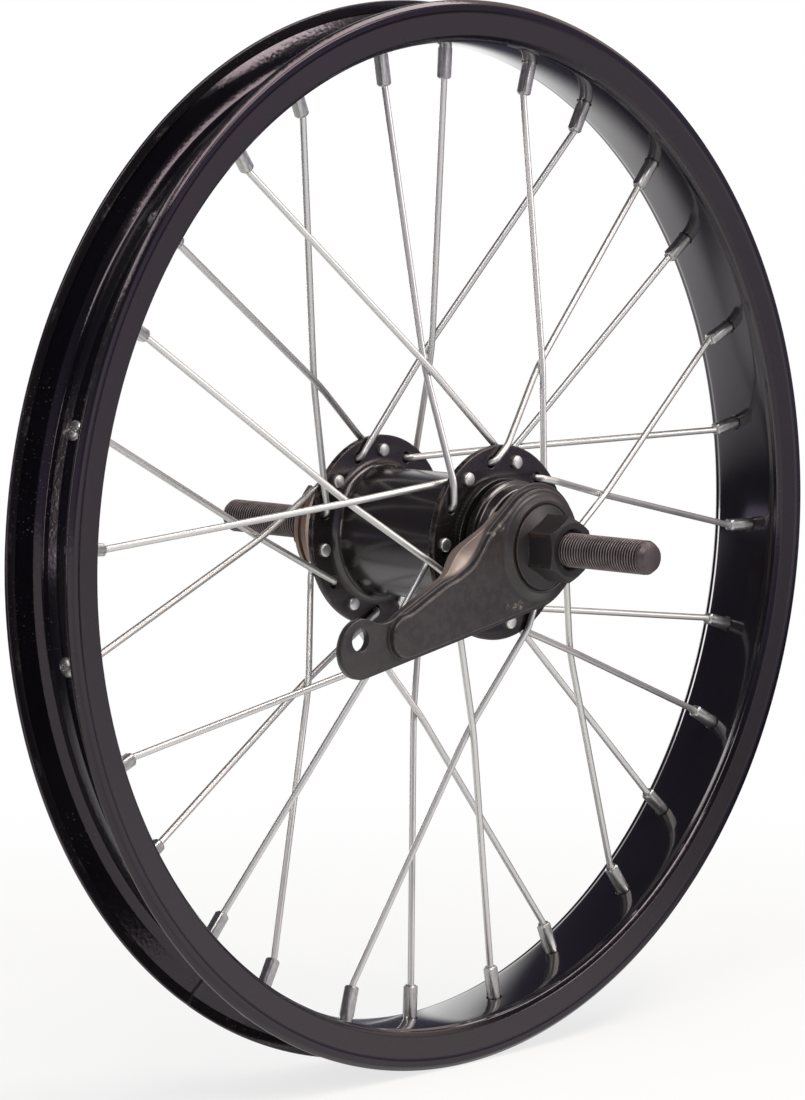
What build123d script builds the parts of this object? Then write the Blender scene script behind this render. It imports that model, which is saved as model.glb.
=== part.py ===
"""Rear wheel of a 16-inch child's bicycle with a coaster-brake hub, in millimetres.

The origin is the wheel's centre and the axle lies along Y. The brake arm is on the -Y side,
the sprocket side is +Y and +Z is up. Angles about the axle run from +X towards +Z, as they do
in Plane.XZ, whose own Z axis points to the brake side.
"""
import os
from math import cos, radians, sin

from build123d import *

# Rim: a rolled steel channel, open outwards for the tyre
RIM_RADIUS = 158.5
RIM_WIDTH = 28.1
RIM_SHEET = 1.3
RIM_DEPTH = 12.7
RIM_CORNER = 3.0
LIP_HEIGHT = 3.2
LIP_THICK = 2.3
LIP_ROUND = 0.9
VALVE_RADIUS = 4.25
VALVE_AFTER_NIPPLE = 7
LENGTH_START = 0.25

# Lacing: nipples alternate between the two flanges around the rim
SPOKES_PER_FLANGE = 14
CROSSES = 2
NIPPLE_STAGGER = 2.3
FIRST_NIPPLE = -3.0

# Spokes and nipples: there are many, so a few flat sides stand for their round sections
ROUND_SIDES = 8
SPOKE_RADIUS = 1.0
SPOKE_HEAD_RADIUS = 1.9
SPOKE_HEAD_HEIGHT = 1.0
ELBOW_REACH = 1.2
SPOKE_GAP = 0.1
NIPPLE_REACH = 10.2
NIPPLE_SQUARE = 3.3
NIPPLE_HEAD_RADIUS = 2.9
NIPPLE_HEAD_HEIGHT = 1.0
NIPPLE_CLEAR = 0.15
SPOKE_ENGAGE = 5.0
THREAD_CLEAR = 0.03

# Hub shell and the two flanges pressed on it
SHELL_RADIUS = 19.2
SHELL_PROUD = 1.3
FLANGE_RADIUS = 28.8
FLANGE_THICK = 2.2
FLANGE_HOLE_CIRCLE = 24.2
FLANGE_HOLE_RADIUS = 1.45
LEFT_FLANGE_Y = -26.2
RIGHT_FLANGE_Y = 23.0
CUP_RADIUS = 16.4
CUP_DEPTH = 7.8
BRAKE_BORE = 15.0
DRIVE_TAPER_START = 6.0
DRIVE_TAPER_END = 14.0

# Axle: the free ends at the thread's outside radius, the covered stretch at its core
AXLE_RADIUS = 5.0
AXLE_CORE_RADIUS = 4.7
AXLE_LENGTH = 172.0
AXLE_TIP = 1.2

# Ball bearings: each a ring of caged balls between a cone and a cup
RACE_RADIUS = 10.6
BALL_CLEAR = 0.3
BALL_ROW_WIDTH = 5.2
DRIVER_RACE_RADIUS = 7.4
DRIVER_CUP_RADIUS = 12.4
DRIVER_CUP_DEPTH = 8.3
DRIVER_BALL_ROW_WIDTH = 4.2

# Brake: two shoes between the wedges of the brake cone and the clutch cone
WEDGE_SLOPE = 0.25
WEDGE_CLEAR = 0.3
WEDGE_LENGTH = 7.6
SHOE_CLEAR = 0.3
SHOE_LENGTH = 19.0
SHOE_MIDDLE = -8.0
SHOE_THICK = 3.2
SHOE_WEDGE_LENGTH = 7.0
SHOE_SPLIT = 1.2
SHOE_END_GAP = 1.1
CLUTCH_STEP = 1.4
CLUTCH_END_GAP = 1.6
SCREW_RADIUS = 9.0
SCREW_CLEAR = 0.3
SCREW_LENGTH = 17.6
SPRING_THICK = 0.9
SPRING_WIDTH = 1.2
SPRING_MOUTH = 5.0

# Brake arm, a stamped pan with a joggled lug, and its nut
ARM_FACE_Y = -42.3
ARM_SHEET = 2.3
ARM_HEAD_RADIUS = 17.8
ARM_DOME_RADIUS = 12.9
ARM_DOME_HEIGHT = 1.9
ARM_SLOPE = 10.4
ARM_LUG_X = -72.3
ARM_LUG_RADIUS = 8.7
ARM_LUG_TOP_ANGLE = 62.0
ARM_NECK_X = -65.2
ARM_NECK_Z = -16.6
ARM_WAIST_X = -57.5
ARM_WAIST_Z = -14.6
ARM_BEND_X = -36.0
ARM_BEND_Z = -4.6
ARM_SHOULDER_X = -29.5
ARM_SHOULDER_Z = 0.8
ARM_HEAD_ANGLE = 122.0
RIB_END_X = -62.0
RIB_END_Z = -21.2
RIB_END_RADIUS = 6.1
SKIRT_DROP = 2.4
SKIRT_LEFT_X = -39.0
SKIRT_RIGHT_X = -23.0
STRAP_HOLE_RADIUS = 3.3
STRAP_HOLE_X = -73.1
STRAP_HOLE_Z = -20.6
STUB_RADIUS = 8.0
STUB_FLATS = 13.0
STUB_CLEAR = 0.1
STUB_SHORT = 0.4
NUT_FLATS = 17.0
NUT_CHAMFER_RADIUS = 8.7
NUT_CHAMFER = 0.7
NUT_FLANGE_RADIUS = 12.3
NUT_FLANGE_EDGE = 0.9
NUT_FLANGE_RISE = 0.9
ARM_NUT_HEIGHT = 11.3

# Dust caps, pressed from sheet
CAP_SHEET = 1.2
CAP_STEP = 1.0
LEFT_CAP_RADIUS = 18.7
LEFT_CAP_DEPTH = 5.9
LEFT_CAP_GAP = 1.9
RIGHT_CAP_LEDGE = 2.6
RIGHT_CAP_DEPTH = 8.8
RIGHT_CAP_GAP = 0.8

# Driver, right cone and lock nut on the drive side
SEAT_RADIUS = 17.3
SEAT_LENGTH = 6.3
CAP_SHOULDER = 0.6
SNAP_GROOVE_WIDTH = 1.4
SNAP_GROOVE_DEPTH = 1.0
SNAP_LAND = 1.7
NOTCH_COUNT = 3
NOTCH_WIDTH = 5.5
NOTCH_DEPTH = 2.0
DRIVER_BORE = 6.0
CONE_DUST_GAP = 0.5
CONE_FLANGE_THICK = 2.0
CONE_COLLAR_RADIUS = 8.5
CONE_COLLAR_LENGTH = 5.2
WASHER_RADIUS = 9.4
WASHER_THICK = 1.2
LOCK_NUT_HEIGHT = 4.8

os.makedirs("parts", exist_ok=True)

# Places around the wheel, worked out from the sizes above
HALF_WIDTH = RIM_WIDTH / 2
BED_RADIUS = RIM_RADIUS - RIM_DEPTH
FLOOR_RADIUS = BED_RADIUS + RIM_SHEET
INNER_CORNER = RIM_CORNER - RIM_SHEET
FLANGE_PITCH = 360 / SPOKES_PER_FLANGE
NIPPLE_PITCH = FLANGE_PITCH / 2
LACE_ANGLE = CROSSES * FLANGE_PITCH
FIRST_RIGHT_NIPPLE = FIRST_NIPPLE + NIPPLE_PITCH
VALVE_ANGLE = FIRST_NIPPLE + (VALVE_AFTER_NIPPLE + 0.5) * NIPPLE_PITCH
NIPPLE_END = BED_RADIUS - NIPPLE_REACH
SPOKE_BEND = NIPPLE_END - SPOKE_RADIUS / 2
HALF_FLANGE = FLANGE_THICK / 2
SHELL_LEFT = LEFT_FLANGE_Y - HALF_FLANGE - SHELL_PROUD
SHELL_RIGHT = RIGHT_FLANGE_Y + HALF_FLANGE + SHELL_PROUD

# Places along the axle, from the brake side to the drive side
AXLE_BORE = AXLE_CORE_RADIUS + THREAD_CLEAR
ARM_BACK = ARM_FACE_Y + ARM_SHEET
LUG_BACK = ARM_BACK + ARM_SHEET
DOME_Y = ARM_FACE_Y - ARM_DOME_HEIGHT
ARM_NUT_FACE = DOME_Y - ARM_NUT_HEIGHT
STUB_END = DOME_Y + STUB_SHORT
LEFT_CAP_BACK = SHELL_LEFT - LEFT_CAP_GAP
LEFT_CAP_FACE = LEFT_CAP_BACK - LEFT_CAP_DEPTH
LEFT_BALLS_Y = SHELL_LEFT + CUP_DEPTH - BALL_CLEAR - BALL_ROW_WIDTH
SHOE_RADIUS = BRAKE_BORE - SHOE_CLEAR
SHOE_BORE = SHOE_RADIUS - SHOE_THICK
SHOE_MOUTH = SHOE_BORE + WEDGE_SLOPE * SHOE_WEDGE_LENGTH
SHOE_LEFT = SHOE_MIDDLE - SHOE_LENGTH / 2
SHOE_RIGHT = SHOE_MIDDLE + SHOE_LENGTH / 2
WEDGE_ROOT_RADIUS = SHOE_MOUTH - WEDGE_CLEAR + WEDGE_SLOPE * SHOE_END_GAP
WEDGE_NOSE_RADIUS = WEDGE_ROOT_RADIUS - WEDGE_SLOPE * WEDGE_LENGTH
BRAKE_WEDGE_ROOT = SHOE_LEFT - SHOE_END_GAP
BRAKE_WEDGE_NOSE = BRAKE_WEDGE_ROOT + WEDGE_LENGTH
CLUTCH_WEDGE_ROOT = SHOE_RIGHT + SHOE_END_GAP
CLUTCH_WEDGE_NOSE = CLUTCH_WEDGE_ROOT - WEDGE_LENGTH
CLUTCH_SHOULDER = CLUTCH_WEDGE_ROOT + CLUTCH_STEP
CLUTCH_BORE = SCREW_RADIUS + SCREW_CLEAR
DRIVE_NECK_RADIUS = BRAKE_BORE - WEDGE_SLOPE * (DRIVE_TAPER_END - DRIVE_TAPER_START)
DRIVER_STEP = DRIVE_TAPER_END + CLUTCH_END_GAP
RIGHT_BALLS_Y = SHELL_RIGHT - CUP_DEPTH + BALL_CLEAR
RIGHT_CAP_BACK = SHELL_RIGHT + RIGHT_CAP_GAP
RIGHT_CAP_FACE = RIGHT_CAP_BACK + RIGHT_CAP_DEPTH
CAP_SEAT_RADIUS = SEAT_RADIUS + CAP_SHOULDER
RIGHT_CAP_RADIUS = CAP_SEAT_RADIUS + RIGHT_CAP_LEDGE
DRIVER_END = RIGHT_CAP_FACE + SEAT_LENGTH
DRIVER_CUP_FLOOR = DRIVER_END - DRIVER_CUP_DEPTH
DRIVER_BALLS_Y = DRIVER_CUP_FLOOR + BALL_CLEAR
CONE_FLANGE_Y = DRIVER_BALLS_Y + DRIVER_BALL_ROW_WIDTH + BALL_CLEAR
CONE_COLLAR_Y = CONE_FLANGE_Y + CONE_FLANGE_THICK
WASHER_Y = CONE_COLLAR_Y + CONE_COLLAR_LENGTH
LOCK_NUT_Y = WASHER_Y + WASHER_THICK
LOCK_NUT_FACE = LOCK_NUT_Y + LOCK_NUT_HEIGHT


# Rim: half of the channel's section, from the middle of its bed round the lip to its floor.
# Two chords stand for each rolled corner.
corner_turns = [(1 - cos(radians(turn)), 1 - sin(radians(turn))) for turn in (0, 45, 90)]
half_section = [
    (BED_RADIUS, 0),
    *[(BED_RADIUS + RIM_CORNER * up, HALF_WIDTH - RIM_CORNER * in_) for up, in_ in corner_turns],
    (RIM_RADIUS - LIP_ROUND, HALF_WIDTH),
    (RIM_RADIUS, HALF_WIDTH - LIP_ROUND),
    (RIM_RADIUS, HALF_WIDTH - LIP_THICK),
    (RIM_RADIUS - LIP_HEIGHT, HALF_WIDTH - LIP_THICK),
    (RIM_RADIUS - LIP_HEIGHT, HALF_WIDTH - RIM_SHEET),
    (FLOOR_RADIUS + INNER_CORNER, HALF_WIDTH - RIM_SHEET),
    (FLOOR_RADIUS, HALF_WIDTH - RIM_SHEET - INNER_CORNER),
    (FLOOR_RADIUS, 0),
]
with BuildPart() as rim:
    with BuildSketch(Plane.XY):
        with BuildLine():
            Polyline(*half_section, close=True)
        make_face()
        mirror(about=Plane.XZ)
    revolve(axis=Axis.Y)
    for first, stagger in ((FIRST_NIPPLE, NIPPLE_STAGGER), (FIRST_RIGHT_NIPPLE, -NIPPLE_STAGGER)):
        with Locations(Plane.XZ.offset(stagger)):
            with PolarLocations(FLOOR_RADIUS, SPOKES_PER_FLANGE, first):
                Box(
                    4 * RIM_SHEET,
                    NIPPLE_SQUARE + 2 * NIPPLE_CLEAR,
                    NIPPLE_SQUARE + 2 * NIPPLE_CLEAR,
                    mode=Mode.SUBTRACT,
                )
    with Locations(Plane.XZ):
        with PolarLocations(FLOOR_RADIUS, 1, VALVE_ANGLE):
            Cylinder(VALVE_RADIUS, 4 * RIM_SHEET, rotation=(0, 90, 0), mode=Mode.SUBTRACT)
    # the hoop is kept as lengths of one nipple pitch, which meet clear of all holes
    for number in range(SPOKES_PER_FLANGE):
        meeting = FIRST_NIPPLE + (number + LENGTH_START) * NIPPLE_PITCH
        split(bisect_by=Plane.XY.rotated((0, -meeting, 0)), keep=Keep.BOTH)
rim.part.label = "rim"
export_step(rim.part, "parts/rim.step")

# Nipple: a square body bored for the spoke, with a head that seats on the rim's floor
with BuildPart() as nipple:
    with BuildSketch(Plane.YZ.offset(NIPPLE_END)):
        Rectangle(NIPPLE_SQUARE, NIPPLE_SQUARE)
    extrude(amount=FLOOR_RADIUS - NIPPLE_END)
    with BuildSketch(Plane.YZ.offset(FLOOR_RADIUS)):
        RegularPolygon(NIPPLE_HEAD_RADIUS, ROUND_SIDES)
    extrude(amount=NIPPLE_HEAD_HEIGHT)
    with BuildSketch(Plane.YZ.offset(NIPPLE_END)):
        RegularPolygon(SPOKE_RADIUS + THREAD_CLEAR, ROUND_SIDES, major_radius=False)
    extrude(amount=SPOKE_ENGAGE, mode=Mode.SUBTRACT)

with BuildPart(Plane.XZ.offset(NIPPLE_STAGGER)) as left_nipples:
    with PolarLocations(0, SPOKES_PER_FLANGE, FIRST_NIPPLE):
        add(nipple.part)
left_nipples.part.label = "left_nipples"
export_step(left_nipples.part, "parts/left_nipples.step")

with BuildPart(Plane.XZ.offset(-NIPPLE_STAGGER)) as right_nipples:
    with PolarLocations(0, SPOKES_PER_FLANGE, FIRST_RIGHT_NIPPLE):
        add(nipple.part)
right_nipples.part.label = "right_nipples"
export_step(right_nipples.part, "parts/right_nipples.step")


def lace_point(share, turn):
    """A point on the straight line from the hole at angle 0 to its nipple, seen along the axle."""
    angle = radians(turn * LACE_ANGLE)
    across = FLANGE_HOLE_CIRCLE + share * (SPOKE_BEND * cos(angle) - FLANGE_HOLE_CIRCLE)
    return across, share * SPOKE_BEND * sin(angle)


def crossing_share():
    """Where a spoke meets the last spoke that it crosses, half a flange pitch short of its nipple."""
    crossing = radians(LACE_ANGLE - NIPPLE_PITCH)
    start = FLANGE_HOLE_CIRCLE * sin(crossing)
    return start / (start + SPOKE_BEND * sin(radians(NIPPLE_PITCH)))


def edge_share():
    """Where a spoke that runs outside its flange has just passed the flange's edge."""
    reach = FLANGE_RADIUS + SPOKE_RADIUS / 2
    run = Vector(*lace_point(1, 1)) - Vector(*lace_point(0, 1))
    slope = FLANGE_HOLE_CIRCLE * run.X / run.length
    distance = (slope**2 + reach**2 - FLANGE_HOLE_CIRCLE**2) ** 0.5 - slope
    return distance / run.length


def laced_spoke(flange_y, outside, turn):
    """The spoke of the hole at angle 0, with its elbow on the outer or inner side of the flange.

    It is drawn in the wheel's plane, with Z to the brake side. The last crossing is interlaced:
    a spoke that starts outside the flange passes inside the one that it crosses.
    """
    flange = -flange_y
    outwards = 1 if flange > 0 else -1
    leaves = outwards if outside else -outwards
    head = flange - leaves * HALF_FLANGE
    beside = flange + leaves * (HALF_FLANGE + SPOKE_RADIUS + SPOKE_GAP)
    elbow_x, elbow_y = lace_point(ELBOW_REACH / SPOKE_BEND, turn)
    rim_end = outwards * NIPPLE_STAGGER
    share = crossing_share()
    middle = flange * (1 - share) + rim_end * share
    crossing = middle - leaves * (SPOKE_RADIUS + SPOKE_GAP / 2)
    angle = radians(turn * LACE_ANGLE)
    screwed = NIPPLE_END + SPOKE_ENGAGE - SPOKE_GAP
    hole = (FLANGE_HOLE_CIRCLE, 0)
    with BuildPart() as spoke:
        with BuildLine() as path:
            Polyline(
                (*hole, head),
                (*hole, beside - leaves * ELBOW_REACH),
                (elbow_x, elbow_y, beside),
                *([(*lace_point(edge_share(), turn), beside)] if outside else []),
                (*lace_point(share, turn), crossing),
                (*lace_point(1, turn), rim_end),
                (screwed * cos(angle), screwed * sin(angle), rim_end),
            )
        with BuildSketch(Plane(origin=path.line @ 0, z_dir=path.line % 0)):
            RegularPolygon(SPOKE_RADIUS, ROUND_SIDES)
        sweep(path=path.line, transition=Transition.RIGHT)
        with BuildSketch(Plane(origin=(*hole, head), z_dir=(0, 0, -leaves))):
            RegularPolygon(SPOKE_HEAD_RADIUS, ROUND_SIDES)
        extrude(amount=SPOKE_HEAD_HEIGHT)
    return spoke.part


# Spokes: every second hole of a flange has its head inside, and those spokes all slant one way
left_outer_spoke = laced_spoke(LEFT_FLANGE_Y, True, -1)
with BuildPart(Plane.XZ) as left_spokes_heads_in:
    with PolarLocations(0, SPOKES_PER_FLANGE // 2, FIRST_NIPPLE):
        add(left_outer_spoke)
left_spokes_heads_in.part.label = "left_spokes_heads_in"
export_step(left_spokes_heads_in.part, "parts/left_spokes_heads_in.step")

left_inner_spoke = laced_spoke(LEFT_FLANGE_Y, False, 1)
with BuildPart(Plane.XZ) as left_spokes_heads_out:
    with PolarLocations(0, SPOKES_PER_FLANGE // 2, FIRST_NIPPLE + FLANGE_PITCH):
        add(left_inner_spoke)
left_spokes_heads_out.part.label = "left_spokes_heads_out"
export_step(left_spokes_heads_out.part, "parts/left_spokes_heads_out.step")

right_outer_spoke = laced_spoke(RIGHT_FLANGE_Y, True, 1)
with BuildPart(Plane.XZ) as right_spokes_heads_in:
    with PolarLocations(0, SPOKES_PER_FLANGE // 2, FIRST_RIGHT_NIPPLE + FLANGE_PITCH):
        add(right_outer_spoke)
right_spokes_heads_in.part.label = "right_spokes_heads_in"
export_step(right_spokes_heads_in.part, "parts/right_spokes_heads_in.step")

right_inner_spoke = laced_spoke(RIGHT_FLANGE_Y, False, -1)
with BuildPart(Plane.XZ) as right_spokes_heads_out:
    with PolarLocations(0, SPOKES_PER_FLANGE // 2, FIRST_RIGHT_NIPPLE):
        add(right_inner_spoke)
right_spokes_heads_out.part.label = "right_spokes_heads_out"
export_step(right_spokes_heads_out.part, "parts/right_spokes_heads_out.step")

# Hub flanges: flat discs with the spoke holes
with BuildPart() as left_flange:
    with BuildSketch(Plane.XZ.offset(-LEFT_FLANGE_Y)):
        Circle(FLANGE_RADIUS)
        Circle(SHELL_RADIUS, mode=Mode.SUBTRACT)
        with PolarLocations(FLANGE_HOLE_CIRCLE, SPOKES_PER_FLANGE, FIRST_NIPPLE):
            RegularPolygon(FLANGE_HOLE_RADIUS, ROUND_SIDES, mode=Mode.SUBTRACT)
    extrude(amount=HALF_FLANGE, both=True)
left_flange.part.label = "left_flange"
export_step(left_flange.part, "parts/left_flange.step")

with BuildPart() as right_flange:
    with BuildSketch(Plane.XZ.offset(-RIGHT_FLANGE_Y)):
        Circle(FLANGE_RADIUS)
        Circle(SHELL_RADIUS, mode=Mode.SUBTRACT)
        with PolarLocations(FLANGE_HOLE_CIRCLE, SPOKES_PER_FLANGE, FIRST_RIGHT_NIPPLE):
            RegularPolygon(FLANGE_HOLE_RADIUS, ROUND_SIDES, mode=Mode.SUBTRACT)
    extrude(amount=HALF_FLANGE, both=True)
right_flange.part.label = "right_flange"
export_step(right_flange.part, "parts/right_flange.step")

# Hub shell: a tube with a ball cup at each end, the brake bore and the drive taper
with BuildPart() as hub_shell:
    with BuildSketch(Plane.XY):
        with BuildLine():
            Polyline(
                (SHELL_RADIUS, SHELL_LEFT),
                (SHELL_RADIUS, SHELL_RIGHT),
                (CUP_RADIUS, SHELL_RIGHT),
                (CUP_RADIUS, SHELL_RIGHT - CUP_DEPTH),
                (DRIVE_NECK_RADIUS, SHELL_RIGHT - CUP_DEPTH),
                (DRIVE_NECK_RADIUS, DRIVE_TAPER_END),
                (BRAKE_BORE, DRIVE_TAPER_START),
                (BRAKE_BORE, SHELL_LEFT + CUP_DEPTH),
                (CUP_RADIUS, SHELL_LEFT + CUP_DEPTH),
                (CUP_RADIUS, SHELL_LEFT),
                close=True,
            )
        make_face()
    revolve(axis=Axis.Y)
hub_shell.part.label = "hub_shell"
export_step(hub_shell.part, "parts/hub_shell.step")

# Axle
with BuildPart() as axle:
    with BuildSketch(Plane.XY):
        with BuildLine():
            Polyline(
                (0, -AXLE_LENGTH / 2),
                (AXLE_RADIUS - AXLE_TIP, -AXLE_LENGTH / 2),
                (AXLE_RADIUS, AXLE_TIP - AXLE_LENGTH / 2),
                (AXLE_RADIUS, ARM_NUT_FACE),
                (AXLE_CORE_RADIUS, ARM_NUT_FACE),
                (AXLE_CORE_RADIUS, LOCK_NUT_FACE),
                (AXLE_RADIUS, LOCK_NUT_FACE),
                (AXLE_RADIUS, AXLE_LENGTH / 2 - AXLE_TIP),
                (AXLE_RADIUS - AXLE_TIP, AXLE_LENGTH / 2),
                (0, AXLE_LENGTH / 2),
                close=True,
            )
        make_face()
    revolve(axis=Axis.Y)
axle.part.label = "axle"
export_step(axle.part, "parts/axle.step")

# Brake cone: flats for the arm, the seat of the dust cap, the left race and the left wedge
with BuildPart() as brake_cone:
    with BuildSketch(Plane.XY):
        with BuildLine():
            Polyline(
                (AXLE_BORE, STUB_END),
                (STUB_RADIUS, STUB_END),
                (STUB_RADIUS, ARM_BACK),
                (RACE_RADIUS + CAP_STEP, ARM_BACK),
                (RACE_RADIUS + CAP_STEP, LEFT_CAP_FACE),
                (RACE_RADIUS, LEFT_CAP_FACE),
                (RACE_RADIUS, BRAKE_WEDGE_ROOT),
                (WEDGE_ROOT_RADIUS, BRAKE_WEDGE_ROOT),
                (WEDGE_NOSE_RADIUS, BRAKE_WEDGE_NOSE),
                (AXLE_BORE, BRAKE_WEDGE_NOSE),
                close=True,
            )
        make_face()
    revolve(axis=Axis.Y)
    with BuildSketch(Plane.XZ.offset(-ARM_BACK)):
        Circle(STUB_RADIUS)
        Rectangle(STUB_FLATS, 2 * STUB_RADIUS, mode=Mode.SUBTRACT)
    extrude(amount=ARM_BACK - STUB_END, mode=Mode.SUBTRACT)
brake_cone.part.label = "brake_cone"
export_step(brake_cone.part, "parts/brake_cone.step")

# Brake arm's outline: the lower edge runs straight, tangent to the head and to the lug
lower_run = Vector(cos(radians(ARM_SLOPE)), sin(radians(ARM_SLOPE)))
lower_normal = Vector(lower_run.Y, -lower_run.X)
head_bottom = lower_normal * ARM_HEAD_RADIUS
lug_z = (ARM_HEAD_RADIUS - ARM_LUG_RADIUS - lower_normal.X * ARM_LUG_X) / lower_normal.Y
lug_centre = Vector(ARM_LUG_X, lug_z)
lug_top = lug_centre + Vector(ARM_LUG_RADIUS, 0).rotate(Axis.Z, ARM_LUG_TOP_ANGLE)
head_top = Vector(ARM_HEAD_RADIUS, 0).rotate(Axis.Z, ARM_HEAD_ANGLE)
with BuildSketch(Plane.XZ.offset(-ARM_FACE_Y)) as arm_outline:
    with BuildLine():
        lower_edge = Line(head_bottom, lug_centre + lower_normal * ARM_LUG_RADIUS)
        ThreePointArc(lower_edge @ 1, lug_centre - Vector(ARM_LUG_RADIUS, 0), lug_top)
        ThreePointArc(lug_top, (ARM_NECK_X, ARM_NECK_Z), (ARM_WAIST_X, ARM_WAIST_Z))
        Polyline(
            (ARM_WAIST_X, ARM_WAIST_Z),
            (ARM_BEND_X, ARM_BEND_Z),
            (ARM_SHOULDER_X, ARM_SHOULDER_Z),
            head_top,
        )
        ThreePointArc(head_top, (ARM_HEAD_RADIUS, 0), head_bottom)
    make_face()

# Brake arm: a pan pressed from sheet, with a flat head, a deep skirt at its shoulder and the
# lug joggled back by one sheet's thickness
rib_x = RIB_END_X + RIB_END_RADIUS
lug_width = 2 * (ARM_LUG_RADIUS + rib_x - ARM_LUG_X)
skirt_width = SKIRT_RIGHT_X - SKIRT_LEFT_X
with BuildPart() as brake_arm:
    extrude(arm_outline.sketch, amount=ARM_FACE_Y - LUG_BACK)
    with BuildSketch(Plane.XZ.offset(-LUG_BACK)):
        add(arm_outline.sketch_local)
        offset(arm_outline.sketch_local, amount=-ARM_SHEET, mode=Mode.SUBTRACT)
        with Locations((SKIRT_LEFT_X + skirt_width / 2, ARM_HEAD_RADIUS)):
            Rectangle(skirt_width, 3 * ARM_HEAD_RADIUS, mode=Mode.INTERSECT)
    extrude(amount=-SKIRT_DROP)
    with BuildSketch(Plane.XZ.offset(-LUG_BACK)):
        offset(arm_outline.sketch_local, amount=-ARM_SHEET)
        with Locations((rib_x, 0)):
            Rectangle(lug_width, lug_width, align=(Align.MAX, Align.CENTER), mode=Mode.SUBTRACT)
        Circle(ARM_HEAD_RADIUS)
        with Locations((ARM_HEAD_RADIUS, 0)):
            Rectangle(2 * ARM_HEAD_RADIUS, 3 * ARM_HEAD_RADIUS)
    extrude(amount=ARM_SHEET, mode=Mode.SUBTRACT)
    with BuildSketch(Plane.XZ.offset(-ARM_FACE_Y)):
        with Locations((rib_x, RIB_END_Z)):
            Rectangle(lug_width, lug_width, align=(Align.MAX, Align.CENTER))
            Circle(RIB_END_RADIUS, mode=Mode.SUBTRACT)
    extrude(amount=-ARM_SHEET, mode=Mode.SUBTRACT)
    with BuildSketch(Plane.XZ.offset(-ARM_FACE_Y)):
        Circle(ARM_DOME_RADIUS + ARM_DOME_HEIGHT)
    with BuildSketch(Plane.XZ.offset(-DOME_Y)):
        Circle(ARM_DOME_RADIUS)
    loft()
    with BuildSketch(Plane.XZ.offset(-DOME_Y)):
        Circle(STUB_RADIUS + STUB_CLEAR)
        Rectangle(STUB_FLATS + 2 * STUB_CLEAR, 3 * STUB_RADIUS, mode=Mode.INTERSECT)
        with Locations((STRAP_HOLE_X, STRAP_HOLE_Z)):
            Circle(STRAP_HOLE_RADIUS)
    extrude(amount=DOME_Y - LUG_BACK, mode=Mode.SUBTRACT)
brake_arm.part.label = "brake_arm"
export_step(brake_arm.part, "parts/brake_arm.step")

# Arm nut: a hexagon with a coned flange, its far corners turned off
with BuildPart() as arm_nut:
    with BuildSketch(Plane.XY):
        with BuildLine():
            Polyline(
                (AXLE_BORE, DOME_Y),
                (NUT_FLANGE_RADIUS, DOME_Y),
                (NUT_FLANGE_RADIUS, DOME_Y - NUT_FLANGE_EDGE),
                (NUT_CHAMFER_RADIUS, DOME_Y - NUT_FLANGE_EDGE - NUT_FLANGE_RISE),
                (AXLE_BORE, DOME_Y - NUT_FLANGE_EDGE - NUT_FLANGE_RISE),
                close=True,
            )
        make_face()
    revolve(axis=Axis.Y)
    with BuildSketch(Plane.XZ.offset(-DOME_Y)):
        RegularPolygon(NUT_FLATS / 2, 6, major_radius=False, rotation=30)
        Circle(AXLE_BORE, mode=Mode.SUBTRACT)
    extrude(amount=ARM_NUT_HEIGHT)
    chamfer(arm_nut.faces().sort_by(Axis.Y)[0].outer_wire().edges(), NUT_CHAMFER)
arm_nut.part.label = "arm_nut"
export_step(arm_nut.part, "parts/arm_nut.step")

# Left dust cap: a pressed cup on the brake cone, open to the hub
with BuildPart() as left_dust_cap:
    with BuildSketch(Plane.XY):
        with BuildLine():
            Polyline(
                (RACE_RADIUS, LEFT_CAP_FACE),
                (LEFT_CAP_RADIUS - CAP_SHEET, LEFT_CAP_FACE),
                (LEFT_CAP_RADIUS, LEFT_CAP_FACE + CAP_SHEET),
                (LEFT_CAP_RADIUS, LEFT_CAP_BACK),
                (LEFT_CAP_RADIUS - CAP_SHEET, LEFT_CAP_BACK),
                (LEFT_CAP_RADIUS - CAP_SHEET, LEFT_CAP_FACE + CAP_SHEET),
                (RACE_RADIUS, LEFT_CAP_FACE + CAP_SHEET),
                close=True,
            )
        make_face()
    revolve(axis=Axis.Y)
left_dust_cap.part.label = "left_dust_cap"
export_step(left_dust_cap.part, "parts/left_dust_cap.step")

# Ball bearings between the hub shell and the two cones
with BuildPart() as left_balls:
    with BuildSketch(Plane.XZ.offset(-LEFT_BALLS_Y)):
        Circle(CUP_RADIUS - BALL_CLEAR)
        Circle(RACE_RADIUS + BALL_CLEAR, mode=Mode.SUBTRACT)
    extrude(amount=-BALL_ROW_WIDTH)
left_balls.part.label = "left_balls"
export_step(left_balls.part, "parts/left_balls.step")

with BuildPart() as right_balls:
    with BuildSketch(Plane.XZ.offset(-RIGHT_BALLS_Y)):
        Circle(CUP_RADIUS - BALL_CLEAR)
        Circle(RACE_RADIUS + BALL_CLEAR, mode=Mode.SUBTRACT)
    extrude(amount=-BALL_ROW_WIDTH)
right_balls.part.label = "right_balls"
export_step(right_balls.part, "parts/right_balls.step")

with BuildPart() as driver_balls:
    with BuildSketch(Plane.XZ.offset(-DRIVER_BALLS_Y)):
        Circle(DRIVER_CUP_RADIUS - BALL_CLEAR)
        Circle(DRIVER_RACE_RADIUS + BALL_CLEAR, mode=Mode.SUBTRACT)
    extrude(amount=-DRIVER_BALL_ROW_WIDTH)
driver_balls.part.label = "driver_balls"
export_step(driver_balls.part, "parts/driver_balls.step")

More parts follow.
